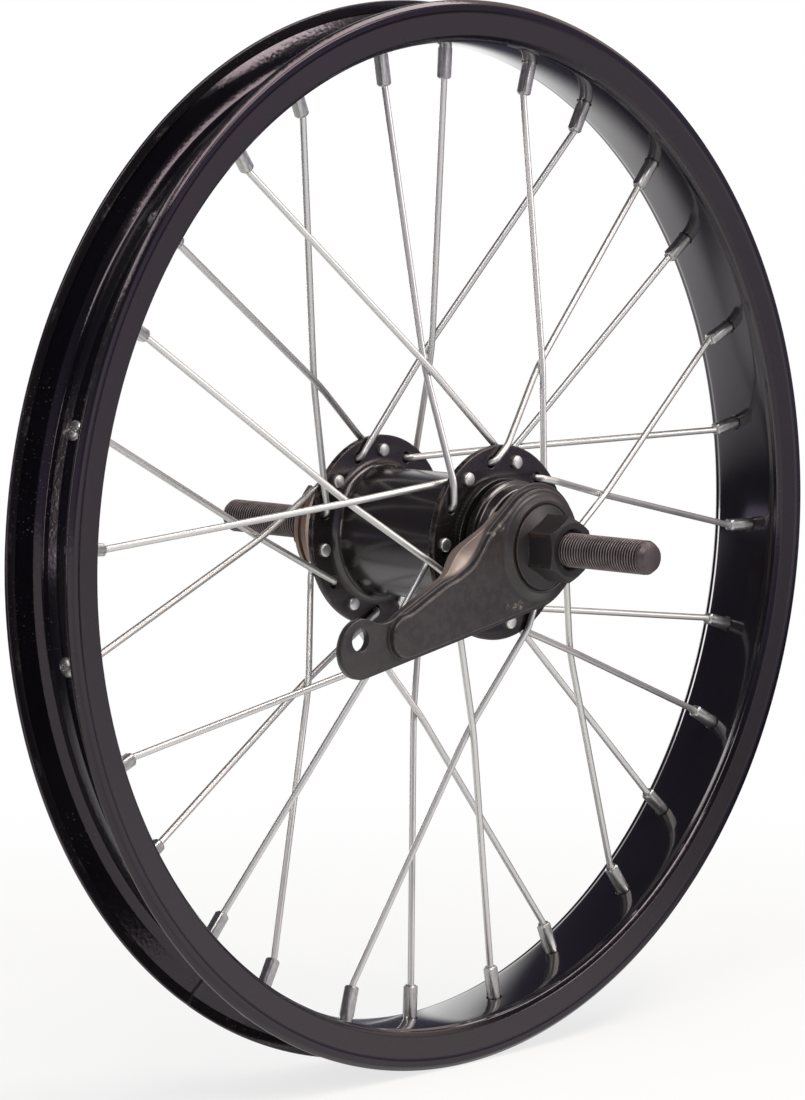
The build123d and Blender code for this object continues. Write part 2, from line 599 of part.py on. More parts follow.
# Brake shoes: a ring with a wedge face at each end, cut in two halves
with BuildPart() as shoe_ring:
    with BuildSketch(Plane.XY):
        with BuildLine():
            Polyline(
                (SHOE_MOUTH, SHOE_LEFT),
                (SHOE_RADIUS, SHOE_LEFT),
                (SHOE_RADIUS, SHOE_RIGHT),
                (SHOE_MOUTH, SHOE_RIGHT),
                (SHOE_BORE, SHOE_RIGHT - SHOE_WEDGE_LENGTH),
                (SHOE_BORE, SHOE_LEFT + SHOE_WEDGE_LENGTH),
                close=True,
            )
        make_face()
    revolve(axis=Axis.Y)

with BuildPart() as front_brake_shoe:
    add(shoe_ring.part)
    split(bisect_by=Plane.YZ.offset(SHOE_SPLIT / 2), keep=Keep.TOP)
front_brake_shoe.part.label = "front_brake_shoe"
export_step(front_brake_shoe.part, "parts/front_brake_shoe.step")

with BuildPart() as rear_brake_shoe:
    add(shoe_ring.part)
    split(bisect_by=Plane.YZ.offset(-SHOE_SPLIT / 2), keep=Keep.BOTTOM)
rear_brake_shoe.part.label = "rear_brake_shoe"
export_step(rear_brake_shoe.part, "parts/rear_brake_shoe.step")

# Clutch cone: a nut on the driver's screw, with the right wedge, the drive cone and a groove
# for the retarder spring
spring_left = CLUTCH_SHOULDER
spring_right = CLUTCH_SHOULDER + SPRING_WIDTH
with BuildPart() as clutch_cone:
    with BuildSketch(Plane.XY):
        with BuildLine():
            Polyline(
                (CLUTCH_BORE, CLUTCH_WEDGE_NOSE),
                (WEDGE_NOSE_RADIUS, CLUTCH_WEDGE_NOSE),
                (WEDGE_ROOT_RADIUS, CLUTCH_WEDGE_ROOT),
                (WEDGE_ROOT_RADIUS, spring_right),
                (BRAKE_BORE - SHOE_CLEAR, spring_right),
                (BRAKE_BORE - SHOE_CLEAR, DRIVE_TAPER_START),
                (DRIVE_NECK_RADIUS - SHOE_CLEAR, DRIVE_TAPER_END),
                (CLUTCH_BORE, DRIVE_TAPER_END),
                close=True,
            )
        make_face()
    revolve(axis=Axis.Y)
clutch_cone.part.label = "clutch_cone"
export_step(clutch_cone.part, "parts/clutch_cone.step")

# Retarder spring: an open ring that grips the clutch cone behind its wedge
with BuildPart() as retarder_spring:
    with BuildSketch(Plane.XZ.offset(-spring_left)):
        Circle(WEDGE_ROOT_RADIUS + SPRING_THICK)
        Circle(WEDGE_ROOT_RADIUS, mode=Mode.SUBTRACT)
        with Locations((0, -WEDGE_ROOT_RADIUS)):
            Rectangle(SPRING_MOUTH, 4 * SPRING_THICK, mode=Mode.SUBTRACT)
    extrude(amount=-SPRING_WIDTH)
retarder_spring.part.label = "retarder_spring"
export_step(retarder_spring.part, "parts/retarder_spring.step")

# Driver: the screw for the clutch, a race, and the notched seat of the sprocket and snap ring
with BuildPart() as driver:
    with BuildSketch(Plane.XY):
        with BuildLine():
            Polyline(
                (DRIVER_BORE, DRIVER_STEP - SCREW_LENGTH),
                (SCREW_RADIUS, DRIVER_STEP - SCREW_LENGTH),
                (SCREW_RADIUS, DRIVER_STEP),
                (RACE_RADIUS, DRIVER_STEP),
                (RACE_RADIUS, RIGHT_CAP_BACK),
                (CAP_SEAT_RADIUS, RIGHT_CAP_BACK),
                (CAP_SEAT_RADIUS, RIGHT_CAP_FACE),
                (SEAT_RADIUS, RIGHT_CAP_FACE),
                (SEAT_RADIUS, DRIVER_END - SNAP_LAND - SNAP_GROOVE_WIDTH),
                (SEAT_RADIUS - SNAP_GROOVE_DEPTH, DRIVER_END - SNAP_LAND - SNAP_GROOVE_WIDTH),
                (SEAT_RADIUS - SNAP_GROOVE_DEPTH, DRIVER_END - SNAP_LAND),
                (SEAT_RADIUS, DRIVER_END - SNAP_LAND),
                (SEAT_RADIUS, DRIVER_END),
                (DRIVER_CUP_RADIUS, DRIVER_END),
                (DRIVER_CUP_RADIUS, DRIVER_CUP_FLOOR),
                (DRIVER_BORE, DRIVER_CUP_FLOOR),
                close=True,
            )
        make_face()
    revolve(axis=Axis.Y)
    with BuildSketch(Plane.XZ.offset(-RIGHT_CAP_FACE)):
        with PolarLocations(SEAT_RADIUS, NOTCH_COUNT):
            Rectangle(2 * NOTCH_DEPTH, NOTCH_WIDTH)
    extrude(amount=-SEAT_LENGTH, mode=Mode.SUBTRACT)
driver.part.label = "driver"
export_step(driver.part, "parts/driver.step")

# Right dust cap: a pressed cup on the driver that shrouds the end of the hub
with BuildPart() as right_dust_cap:
    with BuildSketch(Plane.XY):
        with BuildLine():
            Polyline(
                (CAP_SEAT_RADIUS, RIGHT_CAP_FACE),
                (RIGHT_CAP_RADIUS - CAP_SHEET, RIGHT_CAP_FACE),
                (RIGHT_CAP_RADIUS, RIGHT_CAP_FACE - CAP_SHEET),
                (RIGHT_CAP_RADIUS, RIGHT_CAP_BACK),
                (RIGHT_CAP_RADIUS - CAP_SHEET, RIGHT_CAP_BACK),
                (RIGHT_CAP_RADIUS - CAP_SHEET, RIGHT_CAP_FACE - CAP_SHEET),
                (CAP_SEAT_RADIUS, RIGHT_CAP_FACE - CAP_SHEET),
                close=True,
            )
        make_face()
    revolve(axis=Axis.Y)
right_dust_cap.part.label = "right_dust_cap"
export_step(right_dust_cap.part, "parts/right_dust_cap.step")

# Right cone: screwed on the axle, with its race, a dust lip and a collar for the lock washer
with BuildPart() as right_cone:
    with BuildSketch(Plane.XY):
        with BuildLine():
            Polyline(
                (AXLE_BORE, DRIVER_BALLS_Y),
                (DRIVER_RACE_RADIUS, DRIVER_BALLS_Y),
                (DRIVER_RACE_RADIUS, CONE_FLANGE_Y),
                (DRIVER_CUP_RADIUS - CONE_DUST_GAP, CONE_FLANGE_Y),
                (DRIVER_CUP_RADIUS - CONE_DUST_GAP, CONE_COLLAR_Y),
                (CONE_COLLAR_RADIUS, CONE_COLLAR_Y),
                (CONE_COLLAR_RADIUS, WASHER_Y),
                (AXLE_BORE, WASHER_Y),
                close=True,
            )
        make_face()
    revolve(axis=Axis.Y)
right_cone.part.label = "right_cone"
export_step(right_cone.part, "parts/right_cone.step")

# Lock washer and lock nut
with BuildPart() as lock_washer:
    with BuildSketch(Plane.XZ.offset(-WASHER_Y)):
        Circle(WASHER_RADIUS)
        Circle(AXLE_BORE, mode=Mode.SUBTRACT)
    extrude(amount=-WASHER_THICK)
lock_washer.part.label = "lock_washer"
export_step(lock_washer.part, "parts/lock_washer.step")

with BuildPart() as lock_nut:
    with BuildSketch(Plane.XZ.offset(-LOCK_NUT_Y)):
        RegularPolygon(NUT_FLATS / 2, 6, major_radius=False, rotation=30)
        Circle(AXLE_BORE, mode=Mode.SUBTRACT)
    extrude(amount=-LOCK_NUT_HEIGHT)
    chamfer(lock_nut.faces().sort_by(Axis.Y)[-1].outer_wire().edges(), NUT_CHAMFER)
lock_nut.part.label = "lock_nut"
export_step(lock_nut.part, "parts/lock_nut.step")
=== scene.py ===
from math import ceil, copysign, cos, degrees, exp, floor, hypot, pi, radians, sin, tan

import bmesh
import bpy
from mathutils import Matrix, Vector, geometry


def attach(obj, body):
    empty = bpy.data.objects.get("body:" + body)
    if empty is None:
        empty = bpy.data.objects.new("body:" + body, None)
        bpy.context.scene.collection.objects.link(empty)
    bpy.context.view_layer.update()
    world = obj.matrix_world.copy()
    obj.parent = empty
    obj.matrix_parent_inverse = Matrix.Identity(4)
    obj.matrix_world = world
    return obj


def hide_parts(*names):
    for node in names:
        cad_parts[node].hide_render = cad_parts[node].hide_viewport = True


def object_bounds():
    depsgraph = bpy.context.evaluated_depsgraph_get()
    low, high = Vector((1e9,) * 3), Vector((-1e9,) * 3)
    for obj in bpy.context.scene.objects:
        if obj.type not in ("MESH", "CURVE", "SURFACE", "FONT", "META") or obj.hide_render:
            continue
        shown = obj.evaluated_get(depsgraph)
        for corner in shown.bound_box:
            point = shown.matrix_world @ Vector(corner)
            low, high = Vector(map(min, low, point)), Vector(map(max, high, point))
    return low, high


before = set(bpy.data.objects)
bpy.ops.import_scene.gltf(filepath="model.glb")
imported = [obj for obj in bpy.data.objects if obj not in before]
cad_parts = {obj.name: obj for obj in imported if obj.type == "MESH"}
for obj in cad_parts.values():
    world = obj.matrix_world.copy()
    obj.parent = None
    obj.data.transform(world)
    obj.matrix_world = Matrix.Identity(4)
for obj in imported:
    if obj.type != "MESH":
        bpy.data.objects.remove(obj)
cad_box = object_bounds()

# Hub shell
# A turned steel tube that carries both flanges and runs on the ball races inside it. It is painted
# together with the flanges, and its end at the brake arm stands proud of them with a fine knurl.
MM = 0.001
SHELL_RADIUS = 19.2
SHELL_LEFT, SHELL_RIGHT = -28.6, 25.4
SHELL_BORE = 16.4
FLANGE_RADIUS = 28.8
FLANGE_THICK = 2.2
FLANGE_PLACES = {"left": -26.2, "right": 23.0}
ROOT_FILLET = 3.2
KNURL_COUNT = 110
KNURL_DEPTH = 0.22
KNURL_WIDTH = 0.75


class Shade:
    """A socket of a finish's node tree: arithmetic on it adds Math nodes, and node() adds any other."""

    def __init__(self, socket):
        self.socket = socket

    def node(self, kind, settings=None, inputs=None, output=0):
        tree = self.socket.id_data
        made = tree.nodes.new(kind)
        for name, value in (settings or {}).items():
            setattr(made, name, value)
        for name, value in (inputs or {}).items():
            if isinstance(value, Shade):
                tree.links.new(value.socket, made.inputs[name])
            else:
                made.inputs[name].default_value = value
        return Shade(made.outputs[output])

    def math(self, operation, *others):
        return self.node("ShaderNodeMath", {"operation": operation}, dict(enumerate((self, *others))))

    def __add__(self, other):
        return self.math("ADD", other)

    def __sub__(self, other):
        return self.math("SUBTRACT", other)

    def __rsub__(self, other):
        return self.node("ShaderNodeMath", {"operation": "SUBTRACT"}, {0: other, 1: self})

    def __mul__(self, other):
        return self.math("MULTIPLY", other)

    def __abs__(self):
        return self.math("ABSOLUTE")

    __radd__ = __add__
    __rmul__ = __mul__


def step(value, low, high):
    """0 below low, 1 above high and a soft rise between them, or a fall where low is the larger."""
    limits = {"Value": value, "From Min": low, "From Max": high}
    return value.node("ShaderNodeMapRange", {"interpolation_type": "SMOOTHSTEP"}, limits)


def mixed(share, first, second):
    """A colour that goes from first to second as share goes from 0 to 1."""
    return share.node("ShaderNodeMix", {"data_type": "RGBA"}, {0: share, 6: first, 7: second}, 2)


def noise(place, size, detail=2.0, roughness=0.5):
    """Cloudy noise from 0 to 1, whose patches are about size millimetres wide."""
    inputs = {"Vector": place, "Scale": 1 / (size * MM), "Detail": detail, "Roughness": roughness}
    return place.node("ShaderNodeTexNoise", {}, inputs)


def stretched(place, along):
    """The same place with its three axes scaled, for grain and streaks."""
    return place.node("ShaderNodeMapping", {}, {"Vector": place, "Scale": along})


def bump(height, strength, depth):
    """A normal that tilts with height, which is depth millimetres from 0 to 1."""
    inputs = {"Strength": strength, "Distance": depth * MM, "Height": height}
    return height.node("ShaderNodeBump", {}, inputs)


def finish(name):
    """A new material, its shader and the place on the piece, in metres."""
    material = bpy.data.materials.new(name)
    material.use_nodes = True
    nodes = material.node_tree.nodes
    return material, nodes["Principled BSDF"], Shade(nodes.new("ShaderNodeTexCoord").outputs["Object"])


def dress(shader, sockets):
    """Set or link the shader's sockets."""
    for name, value in sockets.items():
        if isinstance(value, Shade):
            shader.id_data.links.new(value.socket, shader.inputs[name])
        else:
            shader.inputs[name].default_value = value


def axes(place):
    """The three coordinates of a place."""
    return [place.node("ShaderNodeSeparateXYZ", {}, {"Vector": place}, axis) for axis in range(3)]


def across(place):
    """The coordinates of a place on a piece and its distance from the axle, in millimetres."""
    x, y, z = (axis * (1 / MM) for axis in axes(place))
    return x, y, z, (x * x + z * z).math("SQRT")


def rounded(corners, closed=False, turn_step=radians(12)):
    """The line through corners, each a place's numbers and then the radius that it is turned by."""
    places = [Vector(corner[:-1]).to_3d() for corner in corners]
    line = []
    for number, (place, corner) in enumerate(zip(places, corners)):
        radius = corner[-1]
        at_end = not closed and number in (0, len(places) - 1)
        if radius == 0 or at_end:
            line.append(place)
            continue
        back = (places[number - 1] - place).normalized()
        ahead = (places[(number + 1) % len(places)] - place).normalized()
        turn = pi - back.angle(ahead)
        reach = radius * tan(turn / 2)
        centre = place + (back + ahead).normalized() * (radius / cos(turn / 2))
        start = place + back * reach - centre
        end = place + ahead * reach - centre
        count = max(2, round(turn / turn_step))
        for part in range(count + 1):
            share = part / count
            arm = start * sin((1 - share) * turn) + end * sin(share * turn)
            line.append(centre + arm / sin(turn))
    return line


def turned(profile, count=128, bend=None):
    """A closed profile of (radius, place along the axle) points turned about the axle.

    bend, where it is given, changes each (radius, place) at an angle.
    """
    verts = []
    for number in range(count):
        angle = 2 * pi * number / count
        for point in profile:
            radius, along = bend(point.x, point.y, angle) if bend else (point.x, point.y)
            verts.append((radius * cos(angle), along, radius * sin(angle)))
    size = len(profile)
    faces = []
    for number in range(count):
        here, ahead = number * size, (number + 1) % count * size
        for point in range(size):
            beside = (point + 1) % size
            faces.append((here + point, here + beside, ahead + beside, ahead + point))
    return verts, faces


def joined(*shapes):
    """Several shapes as one."""
    verts, faces = [], []
    for shape_verts, shape_faces in shapes:
        base = len(verts)
        verts.extend(shape_verts)
        faces.extend(tuple(base + corner for corner in face) for face in shape_faces)
    return verts, faces


def formed(name, shape, scale):
    """A shape as a new object, with its doubled points merged and its faces turned outwards."""
    verts, faces = shape
    mesh = bpy.data.meshes.new(name)
    mesh.from_pydata([Vector(vert) * scale for vert in verts], [], faces)
    shell = bmesh.new()
    shell.from_mesh(mesh)
    bmesh.ops.remove_doubles(shell, verts=shell.verts, dist=1e-7)
    bmesh.ops.recalc_face_normals(shell, faces=shell.faces)
    shell.to_mesh(mesh)
    shell.free()
    made = bpy.data.objects.new(name, mesh)
    bpy.context.scene.collection.objects.link(made)
    return made


def piece(name, shape, material, body, slot, *nodes, sharp=38):
    """A piece of the object from a shape in millimetres, with its finish and what it rides on."""
    made = formed(name, shape, MM)
    made.data.materials.append(material)
    made.data.shade_smooth()
    made.data.set_sharp_from_angle(angle=radians(sharp))
    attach(made, body)
    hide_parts(*nodes)


def knurled(radius, along, angle):
    """Fine teeth on the shell's outer edge at its brake end."""
    on_edge = radius > SHELL_RADIUS - 0.1 and along < SHELL_LEFT + KNURL_WIDTH
    tooth = 0.5 + 0.5 * cos(KNURL_COUNT * angle)
    return (radius - KNURL_DEPTH * tooth, along) if on_edge else (radius, along)


hub_paint, shader, place = finish("hub_paint")
*_, radius = across(place)
cloud = noise(place, 9.0, 4.0)
peel = noise(place, 0.9, 2.0)
dust = step(noise(place, 0.55, 0.0), 0.72, 0.8)
rub = step(radius, FLANGE_RADIUS - 0.7, FLANGE_RADIUS - 0.1) * step(noise(place, 2.4, 4.0), 0.42, 0.62)
tone = mixed(cloud, (0.007, 0.0055, 0.006, 1), (0.012, 0.0095, 0.0095, 1))
tone = mixed(rub * 0.6, tone, (0.085, 0.066, 0.052, 1))
tone = mixed(dust * 0.08, tone, (0.2, 0.19, 0.18, 1))
dress(shader, {
    "Base Color": tone,
    "Roughness": 0.19 + 0.12 * cloud + 0.12 * rub,
    "Specular Tint": (1.0, 0.88, 0.92, 1),
    "Coat Weight": step(radius, SHELL_RADIUS + 2.3, SHELL_RADIUS + 1.3) * 0.8,
    "Coat Roughness": 0.15,
    "Normal": bump(peel, 0.12, 0.08),
})
left_root = FLANGE_PLACES["left"] + FLANGE_THICK / 2
right_root = FLANGE_PLACES["right"] - FLANGE_THICK / 2
shell_line = rounded([
    (SHELL_BORE, SHELL_LEFT, 0.4),
    (SHELL_RADIUS, SHELL_LEFT, 0.3),
    (SHELL_RADIUS, SHELL_LEFT + KNURL_WIDTH, 0),
    (SHELL_RADIUS, left_root, 0),
    (SHELL_RADIUS + ROOT_FILLET, left_root, 0),
    (SHELL_RADIUS, left_root + 0.01, ROOT_FILLET - 0.02),
    (SHELL_RADIUS, 0, 0),
    (SHELL_RADIUS, right_root - 0.01, ROOT_FILLET - 0.02),
    (SHELL_RADIUS + ROOT_FILLET, right_root, 0),
    (SHELL_RADIUS, right_root, 0),
    (SHELL_RADIUS, SHELL_RIGHT, 0.4),
    (SHELL_BORE, SHELL_RIGHT, 0.4),
], closed=True)
shell_shape = turned(shell_line, 4 * KNURL_COUNT, knurled)
piece("shell_tube", shell_shape, hub_paint, "wheel", "hub_paint", "hub_shell")

# Hub flanges
# Two steel discs pressed on the shell and painted with it. Each is punched with fourteen spoke
# holes, whose edges are dressed so that they don't nick the elbows.
HOLE_CIRCLE = 24.2
HOLE_RADIUS = 1.55
HOLES = 14
HOLE_PITCH = 360 / HOLES
EDGE_ROUND = 0.45
SHELL_GRIP = 0.2
DISC_SIDES = 160
BORE_SIDES = 96
HOLE_SIDES = 24
NIPPLE_PITCH = HOLE_PITCH / 2
FIRST_NIPPLE = {"left": -3.0, "right": -3.0 + NIPPLE_PITCH}


def around(angle, radius, along):
    """The place at an angle about the axle, in degrees from +X to +Z."""
    return Vector((radius * cos(radians(angle)), along, radius * sin(radians(angle))))


def ring(centre, radius, count):
    """A circle of (x, z) places."""
    turns = [2 * pi * number / count for number in range(count)]
    return [Vector((centre[0] + radius * cos(turn), centre[1] + radius * sin(turn))) for turn in turns]


def inset(line, distance):
    """A closed line of (x, z) places moved to its left by distance."""
    moved = []
    for number, point in enumerate(line):
        run = line[(number + 1) % len(line)] - line[number - 1]
        moved.append(point + Vector((-run.y, run.x)).normalized() * distance)
    return moved


def strip(lines):
    """The band between closed lines with equal numbers of (x, y, z) points."""
    size = len(lines[0])
    verts = [vert for line in lines for vert in line]
    faces = []
    for row in range(len(lines) - 1):
        for point in range(size):
            beside = (point + 1) % size
            here, ahead = row * size, (row + 1) * size
            faces.append((here + point, here + beside, ahead + beside, ahead + point))
    return verts, faces


def filled(along, outer, *inner):
    """A flat face at a place along the axle, inside the outer line and outside the inner ones."""
    lines = [[point.to_3d() for point in line] for line in (outer, *inner)]
    flat = [point for line in lines for point in line]
    return [(point.x, along, point.y) for point in flat], list(geometry.tessellate_polygon(lines))


def plate(front, back, outer, holes, edge):
    """A flat plate across the axle with its edges rounded, inside outer and outside the holes."""
    quarter = [pi / 2 * part / 4 for part in range(5)]
    side = 1 if front > back else -1
    shapes = []
    levels = [(back + side * edge * (1 - cos(turn)), turn) for turn in quarter]
    levels += [(front - side * edge * (1 - cos(turn)), turn) for turn in reversed(quarter)]
    for line, inwards in [(outer, 1)] + [(hole, -1) for hole in holes]:
        rows = []
        for along, turn in levels:
            shrunk = inset(line, inwards * edge * (1 - sin(turn)))
            rows.append([(point.x, along, point.y) for point in shrunk])
        shapes.append(strip(rows))
    rims = [inset(outer, edge)] + [inset(hole, -edge) for hole in holes]
    return joined(*shapes, filled(front, *rims), filled(back, *rims))


for side, along in FLANGE_PLACES.items():
    angles = [FIRST_NIPPLE[side] + number * HOLE_PITCH for number in range(HOLES)]
    spots = [around(angle, HOLE_CIRCLE, 0) for angle in angles]
    holes = [ring((spot.x, spot.z), HOLE_RADIUS, HOLE_SIDES) for spot in spots]
    holes.append(ring((0, 0), SHELL_RADIUS - SHELL_GRIP, BORE_SIDES))
    edge = ring((0, 0), FLANGE_RADIUS, DISC_SIDES)
    disc = plate(along + FLANGE_THICK / 2, along - FLANGE_THICK / 2, edge, holes, EDGE_ROUND)
    piece(f"{side}_flange_disc", disc, hub_paint, "wheel", "hub_paint", f"{side}_flange")

# Brake mechanism
# The cones, shoes, clutch, spring and ball rings that work inside the shell. They are hardened
# steel, ground on their working faces and covered with a film of grease.
INNER_NODES = (
    "front_brake_shoe", "rear_brake_shoe", "clutch_cone", "retarder_spring",
    "left_balls", "right_balls", "driver_balls", "brake_cone",
)

greased_steel, shader, place = finish("greased_steel")
film = noise(place, 4.0, 3.0)
lay = noise(stretched(place, (1.0, 14.0, 1.0)), 3.0, 2.0)
dress(shader, {
    "Base Color": mixed(film, (0.3, 0.27, 0.21, 1), (0.5, 0.49, 0.47, 1)),
    "Metallic": 0.9,
    "Roughness": 0.24 + 0.2 * film,
    "Normal": bump(lay, 0.15, 0.05),
})
for node in INNER_NODES:
    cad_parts[node].data.materials.clear()
    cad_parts[node].data.materials.append(greased_steel)

# Axle
# A steel rod with a rolled M10 fine thread from each end, blackened in hot oil. Its ends are
# coned, and the crests of the thread are rubbed bright brown by nuts and dropouts.
AXLE_RADIUS = 5.0
AXLE_END = 86.0
THREAD_PITCH = 1.0
THREAD_DEPTH = 0.56
THREAD_ROOT = 0.12
THREAD_FLANK = 0.7
TIP_RADIUS = 3.5
TIP_LENGTH = 2.3
TIP_EDGE = 0.25
END_ROUND = 0.15
END_FLAT = 0.9
AXLE_SIDES = 40
ROWS_PER_TURN = 8
CORE_RADIUS = 4.6
COVERED = (-45.0, 44.0)

black_oxide, shader, place = finish("black_oxide")
_, y, _, radius = across(place)
patina = noise(place, 7.0, 4.0)
grain = noise(place, 0.5, 3.0)
# the coned tips take the crests' lighter tone all over, a painted highlight for the bright ring at each
# end
tip = step(abs(y), AXLE_END - TIP_LENGTH - 0.5, AXLE_END - TIP_LENGTH - 0.1)
crest = step(radius, AXLE_RADIUS - 0.3, AXLE_RADIUS - 0.03).math("MAXIMUM", tip)
rub = step(noise(place, 3.0, 4.0), 0.3, 0.62)
tone = mixed(patina, (0.024, 0.0185, 0.0195, 1), (0.05, 0.039, 0.04, 1))
tone = mixed(crest, (0.006, 0.005, 0.0055, 1), tone)
dress(shader, {
    "Base Color": mixed(crest * (0.35 + 0.5 * rub) * (1 - 0.7 * tip), tone, (0.27, 0.222, 0.222, 1)),
    "Metallic": 0.25 + 0.45 * crest * rub,
    "Roughness": 0.34 + 0.16 * grain,
    "Normal": bump(grain, 0.1, 0.04),
})


def threaded(near_end, far_end):
    """The axle's thread between two places along it, as rows of points round it."""
    lead = THREAD_PITCH / ROWS_PER_TURN
    rows = []
    for number in range(int((far_end - near_end) / lead) + 1):
        along = near_end + number * lead
        tip = min(along + AXLE_END, AXLE_END - along)
        coned = TIP_RADIUS + TIP_EDGE + (AXLE_RADIUS - TIP_RADIUS) * tip / TIP_LENGTH
        row = []
        for point in range(AXLE_SIDES):
            phase = along / THREAD_PITCH - point / AXLE_SIDES
            ridge = abs(2 * (phase - floor(phase)) - 1)
            crest = min(1.0, max(0.0, (ridge - THREAD_ROOT) / THREAD_FLANK))
            height = AXLE_RADIUS - THREAD_DEPTH * (1 - crest)
            row.append(around(360 * point / AXLE_SIDES, min(height, coned), along))
        rows.append(row)
    return rows


def capped(rows, lift):
    """Rows of points as a closed shape, its flat ends raised a little for a rounded edge."""
    verts, faces = strip(rows)
    size = len(rows[0])
    for base, along in ((0, rows[0][0].y - lift), (len(verts) - size, rows[-1][0].y + lift)):
        rim = [Vector((vert.x * END_FLAT, along, vert.z * END_FLAT)) for vert in verts[base:base + size]]
        first = len(verts)
        verts = verts + rim + [Vector((0, along, 0))]
        for point in range(size):
            beside = (point + 1) % size
            faces.append((base + point, base + beside, first + beside, first + point))
            faces.append((first + point, first + beside, first + size))
    return verts, faces


core_turns = [360 * point / AXLE_SIDES for point in range(AXLE_SIDES)]
axle_rows = threaded(-AXLE_END + END_ROUND, COVERED[0])
axle_rows += [[around(turn, CORE_RADIUS, along) for turn in core_turns] for along in COVERED]
axle_rows += threaded(COVERED[1], AXLE_END - END_ROUND)
rod = capped(axle_rows, END_ROUND)
piece("axle_rod", rod, black_oxide, "axle_set", "black_oxide", "axle", sharp=50)

# Left dust cap
# A cup pressed from sheet that sits on the brake cone behind the arm and keeps grit out of the
# left bearing. It is painted like the hub and has a rolled step round its edge.
LEFT_CAP_RADIUS = 18.7
LEFT_CAP_FACE, LEFT_CAP_BACK = -36.4, -30.5
CONE_RADIUS = 10.6
left_cap_line = rounded([
    (CONE_RADIUS, LEFT_CAP_FACE, 0),
    (LEFT_CAP_RADIUS - 2.2, LEFT_CAP_FACE, 1.6),
    (LEFT_CAP_RADIUS - 1.2, LEFT_CAP_FACE + 3.2, 0.8),
    (LEFT_CAP_RADIUS, LEFT_CAP_FACE + 3.6, 0.35),
    (LEFT_CAP_RADIUS, LEFT_CAP_BACK, 0.4),
    (LEFT_CAP_RADIUS - 1.2, LEFT_CAP_BACK, 0.3),
    (LEFT_CAP_RADIUS - 3.4, LEFT_CAP_FACE + 2.5, 0.5),
    (CONE_RADIUS, LEFT_CAP_FACE + 2.5, 0),
], closed=True)
piece("left_cap", turned(left_cap_line), hub_paint, "axle_set", "hub_paint", "left_dust_cap")

# Brake arm
# A pan pressed from thick sheet steel and blackened. A raised rib runs from its round head to the
# flat lug with the strap's hole, a narrow lip goes round it, and a deep skirt stiffens its shoulder.
ARM_FACE = -43.1
ARM_LIP = -41.0
ARM_SHEET = 2.3
ARM_HEAD_RADIUS = 18.6
ARM_SLOPE = 10.4
LUG_CENTRE_X = -72.3
LUG_RADIUS = 8.7
LUG_TOP_ANGLE = 62.0
NECK = (-65.2, -16.6)
UPPER_EDGE = ((-57.5, -14.6, 14), (-36.0, -4.6, 10), (-29.5, 0.8, 7))
HEAD_TOP_ANGLE = 122.0
STRAP_HOLE = (-73.1, -20.6)
STRAP_HOLE_RADIUS = 3.3
LIP_WIDTH = 1.0
LIP_ROUND = 0.4
RIB_START_X = -55.5
RIB_END = (-62.0, -21.3)
RIB_SLOPE_WIDTH = 1.3
STUB_HOLE_RADIUS = 8.2
DOME_RADIUS = 16.2
DOME_LINE = (
    (DOME_RADIUS, 0.0, 0), (15.2, 0.1, 2.5), (13.7, 1.5, 0.5),
    (12.9, 1.5, 0.3), (12.7, 1.1, 0.2), (STUB_HOLE_RADIUS, 1.1, 0),
)
HEAD_SIDES = 96
MOUTH_SIDES = 40
MOUTH_ROUND = 0.35
POINT_SPACING = 0.8
SHOULDER = (-30.0, 0.5)
SHOULDER_REACH = 13.0
SHOULDER_WIDTH = 2.4
SHOULDER_DROP = 2.6
SKIRT_DEPTH = 1.4
HEAD_THINNING = 0.7
HEAD_FADE = 6.0
HEAD_START_X = -16.0
WALL_EDGE = 0.3
HOLLOW_INSET = 0.6
CHIPS = (
    (-16.8, 7.0, 1.5), (-20.1, 5.3, 1.1), (-8.5, -16.3, 1.7),
    (-11.0, -16.6, 1.3), (-14.0, -16.4, 0.9),
)


def arc_through(start, middle, end, count):
    """Points from start to end along the circle through middle."""
    a, b, c = (Vector(point) for point in (start, middle, end))
    twice = 2 * (a.x * (b.y - c.y) + b.x * (c.y - a.y) + c.x * (a.y - b.y))
    squares = [point.length_squared for point in (a, b, c)]
    centre = Vector((
        (squares[0] * (b.y - c.y) + squares[1] * (c.y - a.y) + squares[2] * (a.y - b.y)) / twice,
        (squares[0] * (c.x - b.x) + squares[1] * (a.x - c.x) + squares[2] * (b.x - a.x)) / twice,
    ))
    first, last = a - centre, c - centre
    sweep = first.angle_signed(last)
    if first.angle_signed(b - centre) * sweep < 0:
        sweep -= 2 * pi if sweep > 0 else -2 * pi
    return [centre + Matrix.Rotation(-sweep * part / count, 2) @ first for part in range(count + 1)]


def evenly(line, spacing):
    """A closed line of (x, z) places drawn again with even spacing."""
    closed = [Vector(point[:2]) for point in line]
    closed.append(closed[0])
    lengths = [0.0]
    for here, ahead in zip(closed, closed[1:]):
        lengths.append(lengths[-1] + (ahead - here).length)
    count = round(lengths[-1] / spacing)
    drawn, run = [], 0
    for number in range(count):
        target = lengths[-1] * number / count
        while lengths[run + 1] < target:
            run += 1
        share = (target - lengths[run]) / (lengths[run + 1] - lengths[run])
        drawn.append(closed[run].lerp(closed[run + 1], share))
    return drawn


